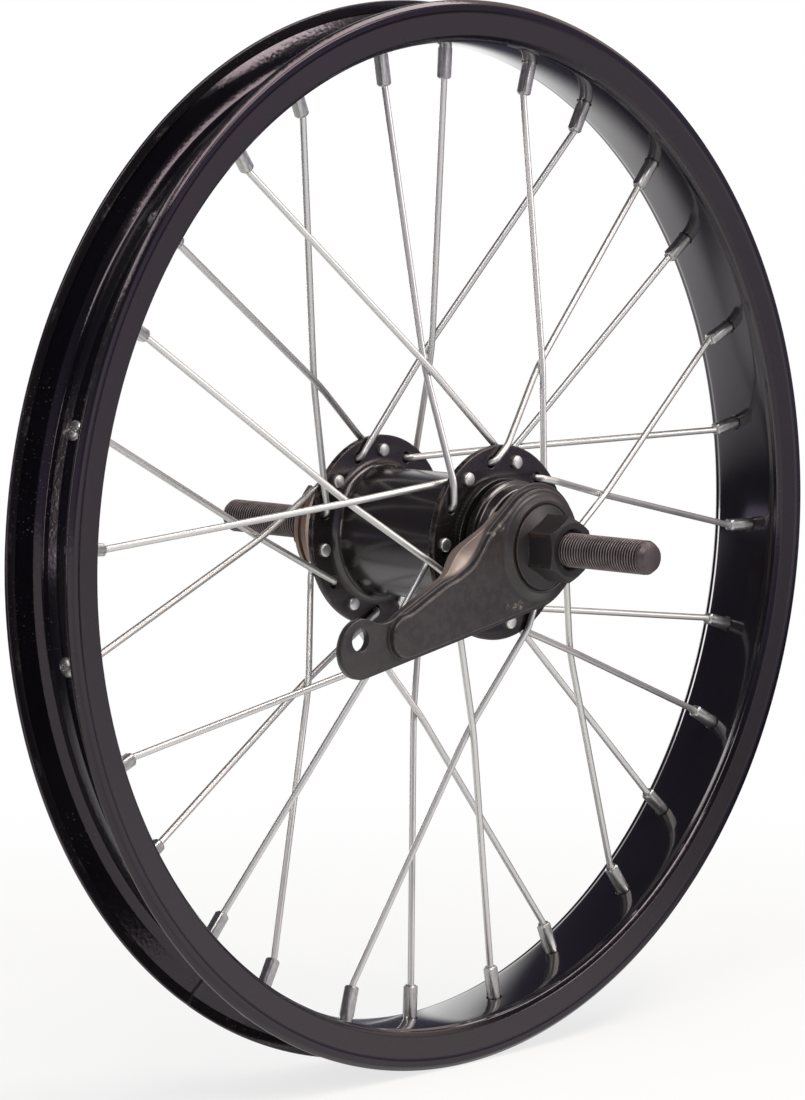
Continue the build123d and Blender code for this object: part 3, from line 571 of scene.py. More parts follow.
slope = radians(ARM_SLOPE)
below = Vector((sin(slope), -cos(slope)))
lug_z = (ARM_HEAD_RADIUS - LUG_RADIUS - below.x * LUG_CENTRE_X) / below.y
lug = Vector((LUG_CENTRE_X, lug_z))
lug_top = lug + LUG_RADIUS * Vector((cos(radians(LUG_TOP_ANGLE)), sin(radians(LUG_TOP_ANGLE))))
head_top = ARM_HEAD_RADIUS * Vector((cos(radians(HEAD_TOP_ANGLE)), sin(radians(HEAD_TOP_ANGLE))))
upper = rounded([(*lug_top, 0), *UPPER_EDGE, (*head_top, 0)])
outline = arc_through(head_top, (ARM_HEAD_RADIUS, 0), below * ARM_HEAD_RADIUS, 60)
outline += arc_through(lug + below * LUG_RADIUS, lug - Vector((LUG_RADIUS, 0)), lug_top, 30)
outline += arc_through(lug_top, NECK, UPPER_EDGE[0][:2], 12)[1:]
outline += [Vector(point[:2]) for point in upper if point.x > UPPER_EDGE[0][0] + 4]
outline = evenly(outline, POINT_SPACING)
# so far the line runs clockwise, and inset moves it inwards only where it runs the other way
outline.reverse()


def shoulder(point):
    """1 at the arm's shoulder, where its skirt is deepest, and 0 away from it."""
    nearness = max(0.0, 1 - hypot(point.x - SHOULDER[0], point.y - SHOULDER[1]) / SHOULDER_REACH)
    return nearness * nearness * (3 - 2 * nearness)


# the rib's foot follows the outline, a lip's width inside it, and ends in an arc beside the lug
lip_line = inset(outline, LIP_WIDTH)
foot = [here.lerp(moved, 1 + SHOULDER_WIDTH * shoulder(here)) for here, moved in zip(outline, lip_line)]
foot = [point for point in foot if point.x > RIB_START_X]
gap = max(range(len(foot)), key=lambda number: (foot[number] - foot[number - 1]).length)
foot = foot[gap:] + foot[:gap]
foot += arc_through(foot[-1], RIB_END, foot[0], 24)[1:-1]
foot = evenly(foot, POINT_SPACING)


def skirt_back(point):
    """How far back the arm's outer wall reaches at a place on its outline."""
    off_head = max(0.0, hypot(*point) - ARM_HEAD_RADIUS)
    on_head = max(0.0, 1 - off_head / HEAD_FADE) * (point.x > HEAD_START_X)
    skirt = SKIRT_DEPTH * SHOULDER_DROP * shoulder(point)
    return ARM_LIP + ARM_SHEET * (1 - HEAD_THINNING * on_head) + skirt


def raised(line, levels):
    """Rows from a line of (x, z) places, each moved in and set at a place along the axle."""
    rows = [(inset(line, distance), along) for distance, along in levels]
    return [[(point.x, along, point.y) for point in row] for row, along in rows]


lip_turns = [radians(turn) for turn in (90, 67, 45, 22, 0)]
lip_levels = [(LIP_ROUND * (1 - sin(turn)), ARM_LIP + LIP_ROUND * (1 - cos(turn))) for turn in lip_turns]
rib_profile = rounded([
    (0, ARM_LIP, 0), (0.3, ARM_LIP, 0.3), (0.6, ARM_FACE, 0.85), (RIB_SLOPE_WIDTH, ARM_FACE, 0),
])
rib_levels = [(point.x, point.y) for point in rib_profile]
dome_profile = rounded([(reach, ARM_FACE - rise, turn) for reach, rise, turn in DOME_LINE])
circle = ring((0, 0), 1.0, HEAD_SIDES)
dome_rows = [[(p.x * point.x, p.y, p.x * point.y) for point in circle] for p in dome_profile]
wall_rows = [
    [(point.x, skirt_back(point), point.y) for point in inset(outline, ARM_SHEET * 0.5)],
    [(point.x, skirt_back(point), point.y) for point in inset(outline, WALL_EDGE)],
    [(point.x, skirt_back(point) - WALL_EDGE, point.y) for point in outline],
]
for row in raised(outline, lip_levels):
    wall_rows.append([(x, y + SHOULDER_DROP * shoulder(p), z) for (x, y, z), p in zip(row, outline)])
hole_back = ARM_LIP + ARM_SHEET
lip_edge = inset(outline, LIP_ROUND)
rib_top = inset(foot, RIB_SLOPE_WIDTH)
hole_mouth = ring(STRAP_HOLE, STRAP_HOLE_RADIUS + MOUTH_ROUND, MOUTH_SIDES)
lip_verts, lip_faces = filled(ARM_LIP, lip_edge, foot, hole_mouth)
lip_verts[:len(lip_edge)] = wall_rows[-1]
front_face = [
    strip(wall_rows),
    (lip_verts, lip_faces),
    strip(raised(foot, rib_levels)),
    filled(ARM_FACE, rib_top, ring((0, 0), DOME_RADIUS, HEAD_SIDES)),
    strip(dome_rows),
]
hollow = inset(foot, HOLLOW_INSET)
hollow_top = inset(foot, RIB_SLOPE_WIDTH + HOLLOW_INSET)
back_levels = [(HOLLOW_INSET + distance, along + ARM_SHEET) for distance, along in rib_levels]
back_face = [
    filled(hole_back, inset(outline, ARM_SHEET * 0.5), hollow, hole_mouth),
    strip(raised(foot, back_levels)),
    filled(ARM_FACE + ARM_SHEET, hollow_top, ring((0, 0), STUB_HOLE_RADIUS, HEAD_SIDES)),
]
bore_rows = [
    [(STUB_HOLE_RADIUS * point.x, along, STUB_HOLE_RADIUS * point.y) for point in circle]
    for along in (dome_profile[-1].y, ARM_FACE + ARM_SHEET)
]
mouth_levels = (
    (MOUTH_ROUND, ARM_LIP), (0.1, ARM_LIP + 0.1), (0, ARM_LIP + MOUTH_ROUND),
    (0, hole_back - MOUTH_ROUND), (0.1, hole_back - 0.1), (MOUTH_ROUND, hole_back),
)
mouth_rows = [
    [(point.x, along, point.y) for point in ring(STRAP_HOLE, STRAP_HOLE_RADIUS + spread, MOUTH_SIDES)]
    for spread, along in mouth_levels
]

arm_oxide, shader, place = finish("arm_oxide")
x, y, z, _ = across(place)
patina = noise(place, 6.0, 5.0, 0.6)
mottle = noise(place, 1.6, 3.0)
grain = noise(place, 0.35, 2.0)
# the upper part of the skirt wall is painted light tan, a painted highlight where light falls on it from
# above
skirt = step(y, ARM_LIP + 0.1, ARM_LIP + 0.7) * step(z, -14, -4) * step(x, -60, -45)
edges = step(abs(y - (ARM_FACE + 0.4)), 0.6, 0.0) * step(noise(place, 2.2, 4.0), 0.42, 0.62)
flakes = step(noise(stretched(place, (1.0, 1.0, 1.6)), 1.6, 3.0, 0.6), 0.47, 0.53)
chips = 0.0
for chip_x, chip_z, reach in CHIPS:
    aside, above = x - chip_x, z - chip_z
    apart = (aside * aside + above * above).math("SQRT")
    chips = chips + flakes * step(apart, reach, 0.3 * reach)
tone = mixed(patina, (0.016, 0.013, 0.0135, 1), (0.037, 0.029, 0.0285, 1))
tone = mixed(step(mottle, 0.55, 0.75) * 0.4, tone, (0.055, 0.043, 0.041, 1))
tone = mixed(edges * 0.45, tone, (0.12, 0.096, 0.084, 1))
tone = mixed(skirt * 0.8, tone, (0.3, 0.235, 0.2, 1))
tone = mixed(chips * 0.7, tone, (0.36, 0.31, 0.26, 1))
dress(shader, {
    "Base Color": tone,
    "Metallic": 0.25 + 0.3 * skirt,
    "Roughness": 0.3 + 0.18 * mottle,
    "Normal": bump(mottle + 0.5 * grain, 0.16, 0.1),
    "Coat Weight": 0.25,
    "Coat Roughness": 0.25,
})
arm_shape = joined(*front_face, *back_face, strip(bore_rows), strip(mouth_rows))
piece("pressed_arm", arm_shape, arm_oxide, "axle_set", "black_oxide", "brake_arm", sharp=45)

# Arm nut
# A flanged hexagon nut, blackened like the axle, that clamps the arm on the brake cone's flats.
# Its outer corners are turned off at thirty degrees and its flange slopes up to the flats.
NUT_FLATS = 17.0
NUT_BACK, NUT_FACE = -44.2, -55.5
NUT_CHAMFER_RADIUS = 7.9
NUT_FLANGE_RADIUS = 12.3
NUT_FLANGE_EDGE = 0.9
NUT_FLANGE_ROUND = 0.4
NUT_FLANGE_RISE = 1.3
NUT_BORE = 5.05
NUT_CHAMFER = radians(30)
NUT_SIDES = 180


def hexagon(angle):
    """The distance from a nut's axis to its flats at an angle, with one flat towards -X."""
    sector = pi / 3
    within = (angle + sector / 2) % sector - sector / 2
    return NUT_FLATS / 2 / cos(within)


def nut_shape(back, face, flanged):
    """A hexagon nut between two places along the axle, with a flange at its back if it has one."""
    side = 1 if face > back else -1
    height = abs(face - back)
    turns = [2 * pi * number / NUT_SIDES for number in range(NUT_SIDES)]
    levels = [height - drop for drop in (1.15, 1.0, 0.85, 0.7, 0.55, 0.42, 0.3, 0.2, 0.1, 0)]
    if flanged:
        base = [0.0, 0.05, 0.12, 0.25, 0.4, 0.5, 0.6, 0.7, 0.8, 0.86]
        base += [NUT_FLANGE_EDGE + 0.1 * part for part in range(14)]
    else:
        base = [0.0, 0.1, 0.2, 0.3, 0.42, 0.55, 0.7, 0.85, 1.0, 1.15]
    rows = []
    for level in base + levels:
        row = []
        off_edge = max(0.0, NUT_FLANGE_ROUND - level, level - NUT_FLANGE_EDGE + NUT_FLANGE_ROUND)
        drop = min(1.0, off_edge / NUT_FLANGE_ROUND)
        foot_reach = NUT_FLANGE_RADIUS - NUT_FLANGE_ROUND * (1 - (1 - drop * drop) ** 0.5)
        climb = max(0.0, level - NUT_FLANGE_EDGE) / NUT_FLANGE_RISE
        for angle in turns:
            reach = min(hexagon(angle), NUT_CHAMFER_RADIUS + (height - level) / tan(NUT_CHAMFER))
            if flanged:
                reach = max(reach, foot_reach - (NUT_FLANGE_RADIUS - NUT_FLATS / 2) * climb)
            else:
                reach = min(reach, NUT_CHAMFER_RADIUS + level / tan(NUT_CHAMFER))
            row.append(around(degrees(angle), reach, back + side * level))
        rows.append(row)
    for bore, level in ((NUT_BORE + 1.2, height), (NUT_BORE, height - 1.1), (NUT_BORE, 0.0)):
        rows.append([around(degrees(angle), bore, back + side * level) for angle in turns])
    rows.append(rows[0])
    return strip(rows)


nut_oxide, shader, place = finish("nut_oxide")
_, y, _, radius = across(place)
patina = noise(place, 5.0, 4.0)
grain = noise(place, 0.4, 3.0)
tone = mixed(patina, (0.014, 0.0115, 0.013, 1), (0.03, 0.0245, 0.0255, 1))
worn = step(abs(y), 2.4 - NUT_BACK, 2.8 - NUT_BACK) * step(noise(place, 1.8, 4.0), 0.4, 0.62)
corner = step(radius, NUT_FLATS / 2 + 0.6, NUT_FLATS / 2 + 1.2) * worn
# the flange's outer rim is painted lighter all round, a painted highlight along its edge
corner = corner + step(radius, NUT_FLANGE_RADIUS - 0.25, NUT_FLANGE_RADIUS - 0.1)
dress(shader, {
    "Base Color": mixed(corner * 0.5, tone, (0.12, 0.086, 0.07, 1)),
    "Metallic": 0.3 + 0.3 * corner,
    "Roughness": 0.33 + 0.16 * grain,
    "Normal": bump(grain, 0.14, 0.06),
})
flanged_nut = nut_shape(NUT_BACK, NUT_FACE, True)
piece("flanged_nut", flanged_nut, nut_oxide, "axle_set", "black_oxide", "arm_nut", sharp=28)

# Driver and right dust cap
# The driver carries the sprocket on three notches, with a groove for its snap ring, and a pressed
# cap on its shoulder covers the right bearing. Both are bare steel, tanned by hardening oil.
SEAT_RADIUS = 17.3
CAP_SEAT_RADIUS = 17.9
RIGHT_CAP_RADIUS = 20.5
RIGHT_CAP_BACK, RIGHT_CAP_FACE = 26.2, 35.0
DRIVER_END = 41.3
DRIVER_CUP_RADIUS = 12.4
DRIVER_CUP_FLOOR = 33.0
SNAP_GROOVE = (38.2, 39.6)
SNAP_DEPTH = 1.0
NOTCHES = 3
NOTCH_WIDTH = 5.5
NOTCH_DEPTH = 2.0
RACE_RADIUS = 10.6
DRIVER_BACK = 15.6
DRIVER_BORE = 6.0
DRIVER_SIDES = 240

tanned_steel, shader, place = finish("tanned_steel")
stain = noise(place, 6.0, 5.0, 0.6)
lathe = noise(stretched(place, (1.0, 30.0, 1.0)), 6.0, 3.0)
tone = mixed(stain, (0.23, 0.165, 0.13, 1), (0.37, 0.28, 0.225, 1))
dress(shader, {
    "Base Color": mixed(lathe * 0.5, tone, (0.16, 0.12, 0.09, 1)),
    "Metallic": 0.75,
    "Roughness": 0.34 + 0.2 * stain,
    "Normal": bump(lathe, 0.2, 0.08),
})


def notched(radius, along, angle):
    """The three square notches of the sprocket's seat."""
    pitch = 2 * pi / NOTCHES
    within = abs((angle + pitch / 2) % pitch - pitch / 2) * SEAT_RADIUS
    floor_radius = SEAT_RADIUS - NOTCH_DEPTH
    cut = within < NOTCH_WIDTH / 2 and along > RIGHT_CAP_FACE - 0.01 and radius > floor_radius
    return (floor_radius, along) if cut else (radius, along)


driver_line = rounded([
    (DRIVER_BORE, DRIVER_BACK, 0),
    (RACE_RADIUS, DRIVER_BACK, 0.4),
    (RACE_RADIUS, RIGHT_CAP_BACK, 0),
    (CAP_SEAT_RADIUS - 0.1, RIGHT_CAP_BACK, 0.3),
    (CAP_SEAT_RADIUS - 0.1, RIGHT_CAP_FACE, 0),
    (SEAT_RADIUS, RIGHT_CAP_FACE, 0),
    (SEAT_RADIUS, SNAP_GROOVE[0], 0.15),
    (SEAT_RADIUS - SNAP_DEPTH, SNAP_GROOVE[0], 0),
    (SEAT_RADIUS - SNAP_DEPTH, SNAP_GROOVE[1], 0),
    (SEAT_RADIUS, SNAP_GROOVE[1], 0.15),
    (SEAT_RADIUS, DRIVER_END, 0.5),
    (DRIVER_CUP_RADIUS, DRIVER_END, 0.5),
    (DRIVER_CUP_RADIUS, DRIVER_CUP_FLOOR, 0.8),
    (DRIVER_BORE, DRIVER_CUP_FLOOR, 0),
], closed=True)
driver_shape = turned(driver_line, DRIVER_SIDES, notched)
piece("driver_body", driver_shape, tanned_steel, "driver_set", "bare_steel", "driver")
right_cap_line = rounded([
    (CAP_SEAT_RADIUS, RIGHT_CAP_FACE, 0.2),
    (RIGHT_CAP_RADIUS - 1.6, RIGHT_CAP_FACE, 0.8),
    (RIGHT_CAP_RADIUS - 0.9, RIGHT_CAP_FACE - 2.6, 0.5),
    (RIGHT_CAP_RADIUS, RIGHT_CAP_FACE - 2.9, 0.4),
    (RIGHT_CAP_RADIUS, RIGHT_CAP_FACE - 5.2, 0.4),
    (RIGHT_CAP_RADIUS - 0.6, RIGHT_CAP_FACE - 5.6, 0.3),
    (RIGHT_CAP_RADIUS, RIGHT_CAP_FACE - 6.2, 0.4),
    (RIGHT_CAP_RADIUS, RIGHT_CAP_BACK, 0.4),
    (RIGHT_CAP_RADIUS - 1.2, RIGHT_CAP_BACK, 0.3),
    (RIGHT_CAP_RADIUS - 1.9, RIGHT_CAP_FACE - 1.2, 0.5),
    (CAP_SEAT_RADIUS, RIGHT_CAP_FACE - 1.2, 0),
], closed=True)
piece("right_cap", turned(right_cap_line), tanned_steel, "driver_set", "bare_steel", "right_dust_cap")

# Right cone, lock washer and lock nut
# The cone screws on the axle and sets the play of the bearings. A washer and a thin hexagon nut
# lock it. The cone and the nut are blackened steel, and the washer is bare.
CONE_BORE = 4.9
CONE_BACK, CONE_FACE = 33.3, 45.0
CONE_LINE = (
    (CONE_BORE, CONE_BACK, 0), (7.4, CONE_BACK, 0.6), (7.4, 37.8, 0.6), (11.9, 37.8, 0.4),
    (11.9, 39.8, 0.5), (8.5, 39.8, 0.6), (8.5, CONE_FACE, 0.3), (CONE_BORE, CONE_FACE, 0),
)
WASHER_RADIUS = 9.4
WASHER_FACE = 46.2
WASHER_LINE = (
    (CONE_BORE, CONE_FACE, 0), (WASHER_RADIUS, CONE_FACE, 0.3),
    (WASHER_RADIUS, WASHER_FACE, 0.3), (CONE_BORE, WASHER_FACE, 0),
)
LOCK_NUT_FACE = 51.0

right_cone = turned(rounded(CONE_LINE, True))
piece("right_cone_body", right_cone, nut_oxide, "axle_set", "bare_steel", "right_cone")
washer = turned(rounded(WASHER_LINE, True))
piece("washer_disc", washer, tanned_steel, "axle_set", "bare_steel", "lock_washer")
thin_nut = nut_shape(WASHER_FACE, LOCK_NUT_FACE, False)
piece("thin_nut", thin_nut, nut_oxide, "axle_set", "bare_steel", "lock_nut", sharp=28)

# Spokes
# Twenty-eight zinc-plated steel wires with an upset head and an elbow. Each crosses two others of
# its flange and is woven past the last of them before it reaches its nipple.
SPOKE_RADIUS = 1.0
HEAD_RADIUS = 2.05
HEAD_HEIGHT = 1.15
ELBOW_RADIUS = 2.2
LEAVING_RADIUS = 8.0
LEAVING_SHARE = {True: 0.062, False: 0.03}
WEAVE_RADIUS = 70.0
END_RADIUS = 2.0
NIPPLE_STAGGER = 2.3
NIPPLE_END = 135.6
SPOKE_BEND = 135.1
SPOKE_END = 140.5
SPOKE_GAP = 0.1
SPOKE_PART = 5.0
SPOKE_SIDES = 20
LACE_ANGLE = 2 * HOLE_PITCH

zinc, shader, place = finish("zinc")
cloud = noise(place, 22.0, 3.0)
dress(shader, {
    "Base Color": mixed(cloud, (0.6, 0.6, 0.585, 1), (0.74, 0.735, 0.71, 1)),
    "Metallic": 1.0,
    "Roughness": 0.4 + 0.08 * cloud,
})


def lace_place(share, turn):
    """A place on the line from the hole at angle 0 to its nipple, seen along the axle."""
    angle = radians(turn * LACE_ANGLE)
    run = HOLE_CIRCLE + share * (SPOKE_BEND * cos(angle) - HOLE_CIRCLE)
    return run, share * SPOKE_BEND * sin(angle)


def ended(rows):
    """Rows of points as a closed shape with flat ends."""
    verts, faces = strip(rows)
    size = len(rows[0])
    faces.append(tuple(range(size)))
    faces.append(tuple(range(len(verts) - size, len(verts))))
    return verts, faces


def tube(line, radii, count):
    """A round tube along a line of places, closed at both ends."""
    rows = []
    ahead = (line[1] - line[0]).normalized()
    side = ahead.orthogonal().normalized()
    for number, (point, thick) in enumerate(zip(line, radii)):
        before = line[max(0, number - 1)]
        after = line[min(len(line) - 1, number + 1)]
        if (after - before).length > 1e-9:
            ahead = (after - before).normalized()
        side = (side - ahead * side.dot(ahead)).normalized()
        other = ahead.cross(side)
        turns = [2 * pi * part / count for part in range(count)]
        rows.append([point + thick * (side * cos(turn) + other * sin(turn)) for turn in turns])
    return ended(rows)


def spoke(flange, outside, turn, start):
    """One spoke, from its head in the flange's hole at an angle to its end in the nipple."""
    outwards = 1 if flange > 0 else -1
    leaves = outwards if outside else -outwards
    head = flange - leaves * FLANGE_THICK / 2
    beside = flange + leaves * (FLANGE_THICK / 2 + SPOKE_RADIUS + SPOKE_GAP)
    crossing_angle = radians(LACE_ANGLE - NIPPLE_PITCH)
    from_hole = HOLE_CIRCLE * sin(crossing_angle)
    share = from_hole / (from_hole + SPOKE_BEND * sin(radians(NIPPLE_PITCH)))
    rim_end = outwards * NIPPLE_STAGGER
    middle = flange * (1 - share) + rim_end * share
    crossing = middle - leaves * (SPOKE_RADIUS + SPOKE_GAP / 2)
    angle = radians(turn * LACE_ANGLE)
    corners = [
        (HOLE_CIRCLE, 0, head, 0),
        (HOLE_CIRCLE, 0, beside, ELBOW_RADIUS),
        (*lace_place(LEAVING_SHARE[outside], turn), beside, LEAVING_RADIUS),
        (*lace_place(share, turn), crossing, WEAVE_RADIUS),
        (*lace_place(1, turn), rim_end, END_RADIUS),
        (SPOKE_END * cos(angle), SPOKE_END * sin(angle), rim_end, 0),
    ]
    local = rounded(corners, turn_step=radians(10))
    ahead = Vector((0, 0, leaves))
    dome = [0.0, 0.35, 0.62, 0.83, 0.96, 1.0]
    line = [local[0] - ahead * HEAD_HEIGHT * cos(pi / 2 * part / 5) for part in range(6)]
    radii = [max(0.08, HEAD_RADIUS * (1 - (1 - part) ** 2) ** 0.5) for part in dome]
    line += [local[0] + ahead * 0.02]
    for before, after in zip(local, local[1:]):
        parts = ceil((after - before).length / SPOKE_PART)
        line += [before.lerp(after, part / parts) for part in range(1, parts + 1)]
    radii += [SPOKE_RADIUS] * (len(line) - len(radii))
    turn_by = radians(start)
    placed = [
        Vector((p.x * cos(turn_by) - p.y * sin(turn_by), -p.z, p.x * sin(turn_by) + p.y * cos(turn_by)))
        for p in line
    ]
    return tube(placed, radii, SPOKE_SIDES)


# each group's flange, whether it runs outside it, which way it leans, and the hole that it starts at
GROUPS = (
    ("left_spokes_heads_in", "left", True, -1, 0),
    ("left_spokes_heads_out", "left", False, 1, 1),
    ("right_spokes_heads_in", "right", True, 1, 1),
    ("right_spokes_heads_out", "right", False, -1, 0),
)
for node, side, outside, turn, skip in GROUPS:
    first = FIRST_NIPPLE[side] + skip * HOLE_PITCH
    starts = [first + number * 2 * HOLE_PITCH for number in range(HOLES // 2)]
    laced = joined(*[spoke(-FLANGE_PLACES[side], outside, turn, start) for start in starts])
    piece(f"{node}_wires", laced, zinc, "wheel", "zinc", node, sharp=50)

# Nipples
# Square zinc-plated steel nuts with turned corners. Each hangs from its slotted head in the tyre
# well, through a hole in the rim, and screws on the end of a spoke.
NIPPLE_FLATS = 3.5
NIPPLE_ROUND = 2.15
NIPPLE_NECK_RADIUS = 1.95
NIPPLE_NECK_START = 145.0
NIPPLE_HEAD_RADIUS = 2.9
NIPPLE_HEAD_FOOT = 147.0
NIPPLE_HEAD_TOP = 148.1
NIPPLE_MOUTH = 1.3
NIPPLE_BORE = 0.92
NIPPLE_SIDES = 32
SLOT_HALF = 0.42
SLOT_DEPTH = 0.75

nipple_zinc, shader, place = finish("nipple_zinc")
streak = noise(place, 1.4, 4.0)
dull = noise(place, 5.0, 3.0)
tone = mixed(streak, (0.3, 0.295, 0.285, 1), (0.72, 0.715, 0.69, 1))
dress(shader, {
    "Base Color": mixed(dull * 0.4, tone, (0.4, 0.39, 0.365, 1)),
    "Metallic": 1.0,
    "Roughness": 0.26 + 0.2 * streak,
    "Normal": bump(streak, 0.2, 0.08),
})


def nipple(angle, along):
    """One nipple at an angle round the rim, square at the levels that give no radius."""
    out = around(angle, 1, 0)
    beside = around(angle + 90, 1, 0)
    lift = Vector((0, 1, 0))
    levels = [
        (NIPPLE_END + 1.6, NIPPLE_BORE), (NIPPLE_END + 0.1, NIPPLE_BORE), (NIPPLE_END, NIPPLE_MOUTH),
        (NIPPLE_END, 1.55), (NIPPLE_END + 0.12, 1.72), (NIPPLE_END + 0.55, None),
        (NIPPLE_NECK_START - 0.5, None), (NIPPLE_NECK_START, NIPPLE_NECK_RADIUS),
        (NIPPLE_HEAD_FOOT, NIPPLE_NECK_RADIUS), (NIPPLE_HEAD_FOOT, NIPPLE_HEAD_RADIUS),
        (NIPPLE_HEAD_FOOT + 0.35, NIPPLE_HEAD_RADIUS), (NIPPLE_HEAD_FOOT + 0.7, 2.6),
        (NIPPLE_HEAD_FOOT + 0.95, 2.0), (NIPPLE_HEAD_TOP, 1.35), (NIPPLE_HEAD_TOP, 1.1),
        (NIPPLE_HEAD_TOP - 0.1, 1.0), (NIPPLE_HEAD_TOP - 1.0, 0.95), (NIPPLE_HEAD_TOP - 0.85, 0.5),
    ]
    rows = []
    for level, reach in levels:
        row = []
        for number in range(NIPPLE_SIDES):
            turn = 2 * pi * number / NIPPLE_SIDES
            flat = NIPPLE_FLATS / 2 / max(abs(cos(turn)), abs(sin(turn)))
            spread = reach or min(flat, NIPPLE_ROUND)
            u, v = spread * cos(turn), spread * sin(turn)
            in_slot = level > NIPPLE_HEAD_FOOT + 0.3 and abs(u) < SLOT_HALF
            height = min(level, NIPPLE_HEAD_TOP - SLOT_DEPTH) if in_slot else level
            row.append(out * height + beside * u + lift * (along + v))
        rows.append(row)
    return ended(rows)


for side, along in (("left", -NIPPLE_STAGGER), ("right", NIPPLE_STAGGER)):
    angles = [FIRST_NIPPLE[side] + number * HOLE_PITCH for number in range(HOLES)]
    nuts = joined(*[nipple(angle, along) for angle in angles])
    piece(f"{side}_nipple_nuts", nuts, nipple_zinc, "wheel", "zinc", f"{side}_nipples", sharp=30)

# Rim
# A steel strip rolled to a channel with an arched bed between two narrow shoulders, hemmed at both
# lips, bent to a hoop and welded. It is painted gloss black after its holes are punched.
RIM_RADIUS = 158.5
RIM_HALF_WIDTH = 14.05
WALL_HALF_WIDTH = 13.75
HEM_INSIDE = 11.75
LIP_FACET = 1.35
BEND_FACET = 1.3
HEM_FOOT = 155.2
WALL_INSIDE = 12.45
WALL_FOOT = 10.7
WALL_FOOT_RADIUS = 150.0
BED_RADIUS = 145.5
BED_ARCH = 65.0
BED_PLACES = (1.2, 3.6, 6.0, 8.4)
BED_EDGE = (146.3, 10.3)
BED_SHOULDER_RADIUS = 146.85
BED_SHOULDER_START = 11.4
FLOOR_RADIUS = 147.7
FLOOR_WELL_RADIUS = 146.95
WELL_HALF_WIDTH = 4.2
WELL_SHOULDER = 6.9
RIM_SEGMENTS = 420
NIPPLE_HOLE_RADIUS = 2.45
VALVE_HOLE_RADIUS = 4.25
VALVE_ANGLE = FIRST_NIPPLE["left"] + 7.5 * NIPPLE_PITCH
WELD_ANGLE = radians(-125.3)
WELD_WIDTH = radians(0.5)
WELD_HEIGHT = 0.5
SEAM_ASIDE = 0.9
SEAM_HALF = 0.5
SEAM_FADE = 0.9
PUNCH_SIDES = 28
PUNCH_REACH = 3.0

bed = [(BED_RADIUS + along ** 2 / 2 / BED_ARCH, along, 0) for along in BED_PLACES]
half_rim = bed + [
    (*BED_EDGE, 1.2),
    (BED_SHOULDER_RADIUS, BED_SHOULDER_START, 0.8),
    (BED_SHOULDER_RADIUS, WALL_HALF_WIDTH - BEND_FACET, 0.6),
    (BED_SHOULDER_RADIUS + BEND_FACET, WALL_HALF_WIDTH, 0.6),
    (HEM_FOOT - 0.6, WALL_HALF_WIDTH, 0.5),
    (HEM_FOOT + 0.2, RIM_HALF_WIDTH, 0.5),
    (RIM_RADIUS - LIP_FACET, RIM_HALF_WIDTH, 0.8),
    (RIM_RADIUS, RIM_HALF_WIDTH - LIP_FACET, 0.8),
    (RIM_RADIUS, HEM_INSIDE, 0.4),
    (HEM_FOOT, HEM_INSIDE, 0.35),
    (HEM_FOOT, WALL_INSIDE, 0.2),
    (WALL_FOOT_RADIUS, WALL_FOOT, 2.0),
    (FLOOR_RADIUS, WALL_FOOT - 1.6, 1.6),
    (FLOOR_RADIUS, WELL_SHOULDER, 1.2),
    (FLOOR_WELL_RADIUS, WELL_HALF_WIDTH, 1.2),
]
rim_corners = half_rim + [(radius, -along, turn) for radius, along, turn in reversed(half_rim)]


def welded(radius, along, angle):
    """The low bead that the weld leaves across the tyre side of the rim."""
    apart = (angle - WELD_ANGLE + pi) % (2 * pi) - pi
    bead = WELD_HEIGHT * exp(-((apart / WELD_WIDTH) ** 2))
    if radius > FLOOR_WELL_RADIUS - 0.2 and abs(along) < WALL_FOOT - 1.5:
        return (radius + bead, along)
    if radius > FLOOR_RADIUS and abs(along) < WALL_INSIDE + 0.05:
        return (radius, along - copysign(bead, along))
    return (radius, along)


rim_paint, shader, place = finish("rim_paint")
x, y, z, radius = across(place)
aside = abs(y)
below_hem = 1 - step(radius, HEM_FOOT - 0.6, HEM_FOOT + 0.1)
side_wall = step(aside, WALL_HALF_WIDTH - 0.1, WALL_HALF_WIDTH - 0.03) * below_hem
cloud = noise(place, 30.0, 3.0)
tyre_side = step(radius, FLOOR_WELL_RADIUS - 0.1, FLOOR_WELL_RADIUS - 0.03)
tyre_side = tyre_side * step(aside, RIM_HALF_WIDTH - 0.35, RIM_HALF_WIDTH - 0.55)
hub_side = step(radius, BED_SHOULDER_RADIUS + 0.65, BED_SHOULDER_RADIUS + 0.05)
hub_side = hub_side * step(aside, WALL_HALF_WIDTH - 0.55, WALL_HALF_WIDTH - 1.25)
peel = noise(place, 1.3, 1.0) * (0.3 + 0.7 * tyre_side)
rub = step(noise(stretched(place, (1.0, 2.0, 1.0)), 5.0, 5.0, 0.65), 0.5, 0.72)
edge = step(radius, RIM_RADIUS - 0.85, RIM_RADIUS - 0.1) * rub
hem = tyre_side * step(radius, HEM_FOOT - 0.1, HEM_FOOT + 0.1)
outwards = x * cos(WELD_ANGLE) + z * sin(WELD_ANGLE)
apart = abs(z * cos(WELD_ANGLE) - x * sin(WELD_ANGLE) - SEAM_ASIDE)
seam = tyre_side * step(apart, SEAM_FADE, SEAM_HALF) * step(radius, RIM_RADIUS - 0.2, RIM_RADIUS - 0.6)
seam = seam * step(outwards, 100, 110) * step(aside, WALL_INSIDE + 0.25, WALL_INSIDE + 0.05)
dust = step(noise(place, 0.5, 0.0), 0.76, 0.82) * step(noise(place, 40.0, 2.0), 0.45, 0.6) * tyre_side
tone = mixed(cloud, (0.0035, 0.003, 0.005, 1), (0.0055, 0.0045, 0.0065, 1))
tone = mixed(side_wall, tone, (0.0135, 0.0115, 0.0125, 1))
tone = mixed(edge * 0.35, tone, (0.12, 0.1, 0.085, 1))
tone = mixed(hem * 0.8, tone, (0.0135, 0.0115, 0.0135, 1))
tone = mixed(seam, tone, (0.0006, 0.0005, 0.0006, 1))
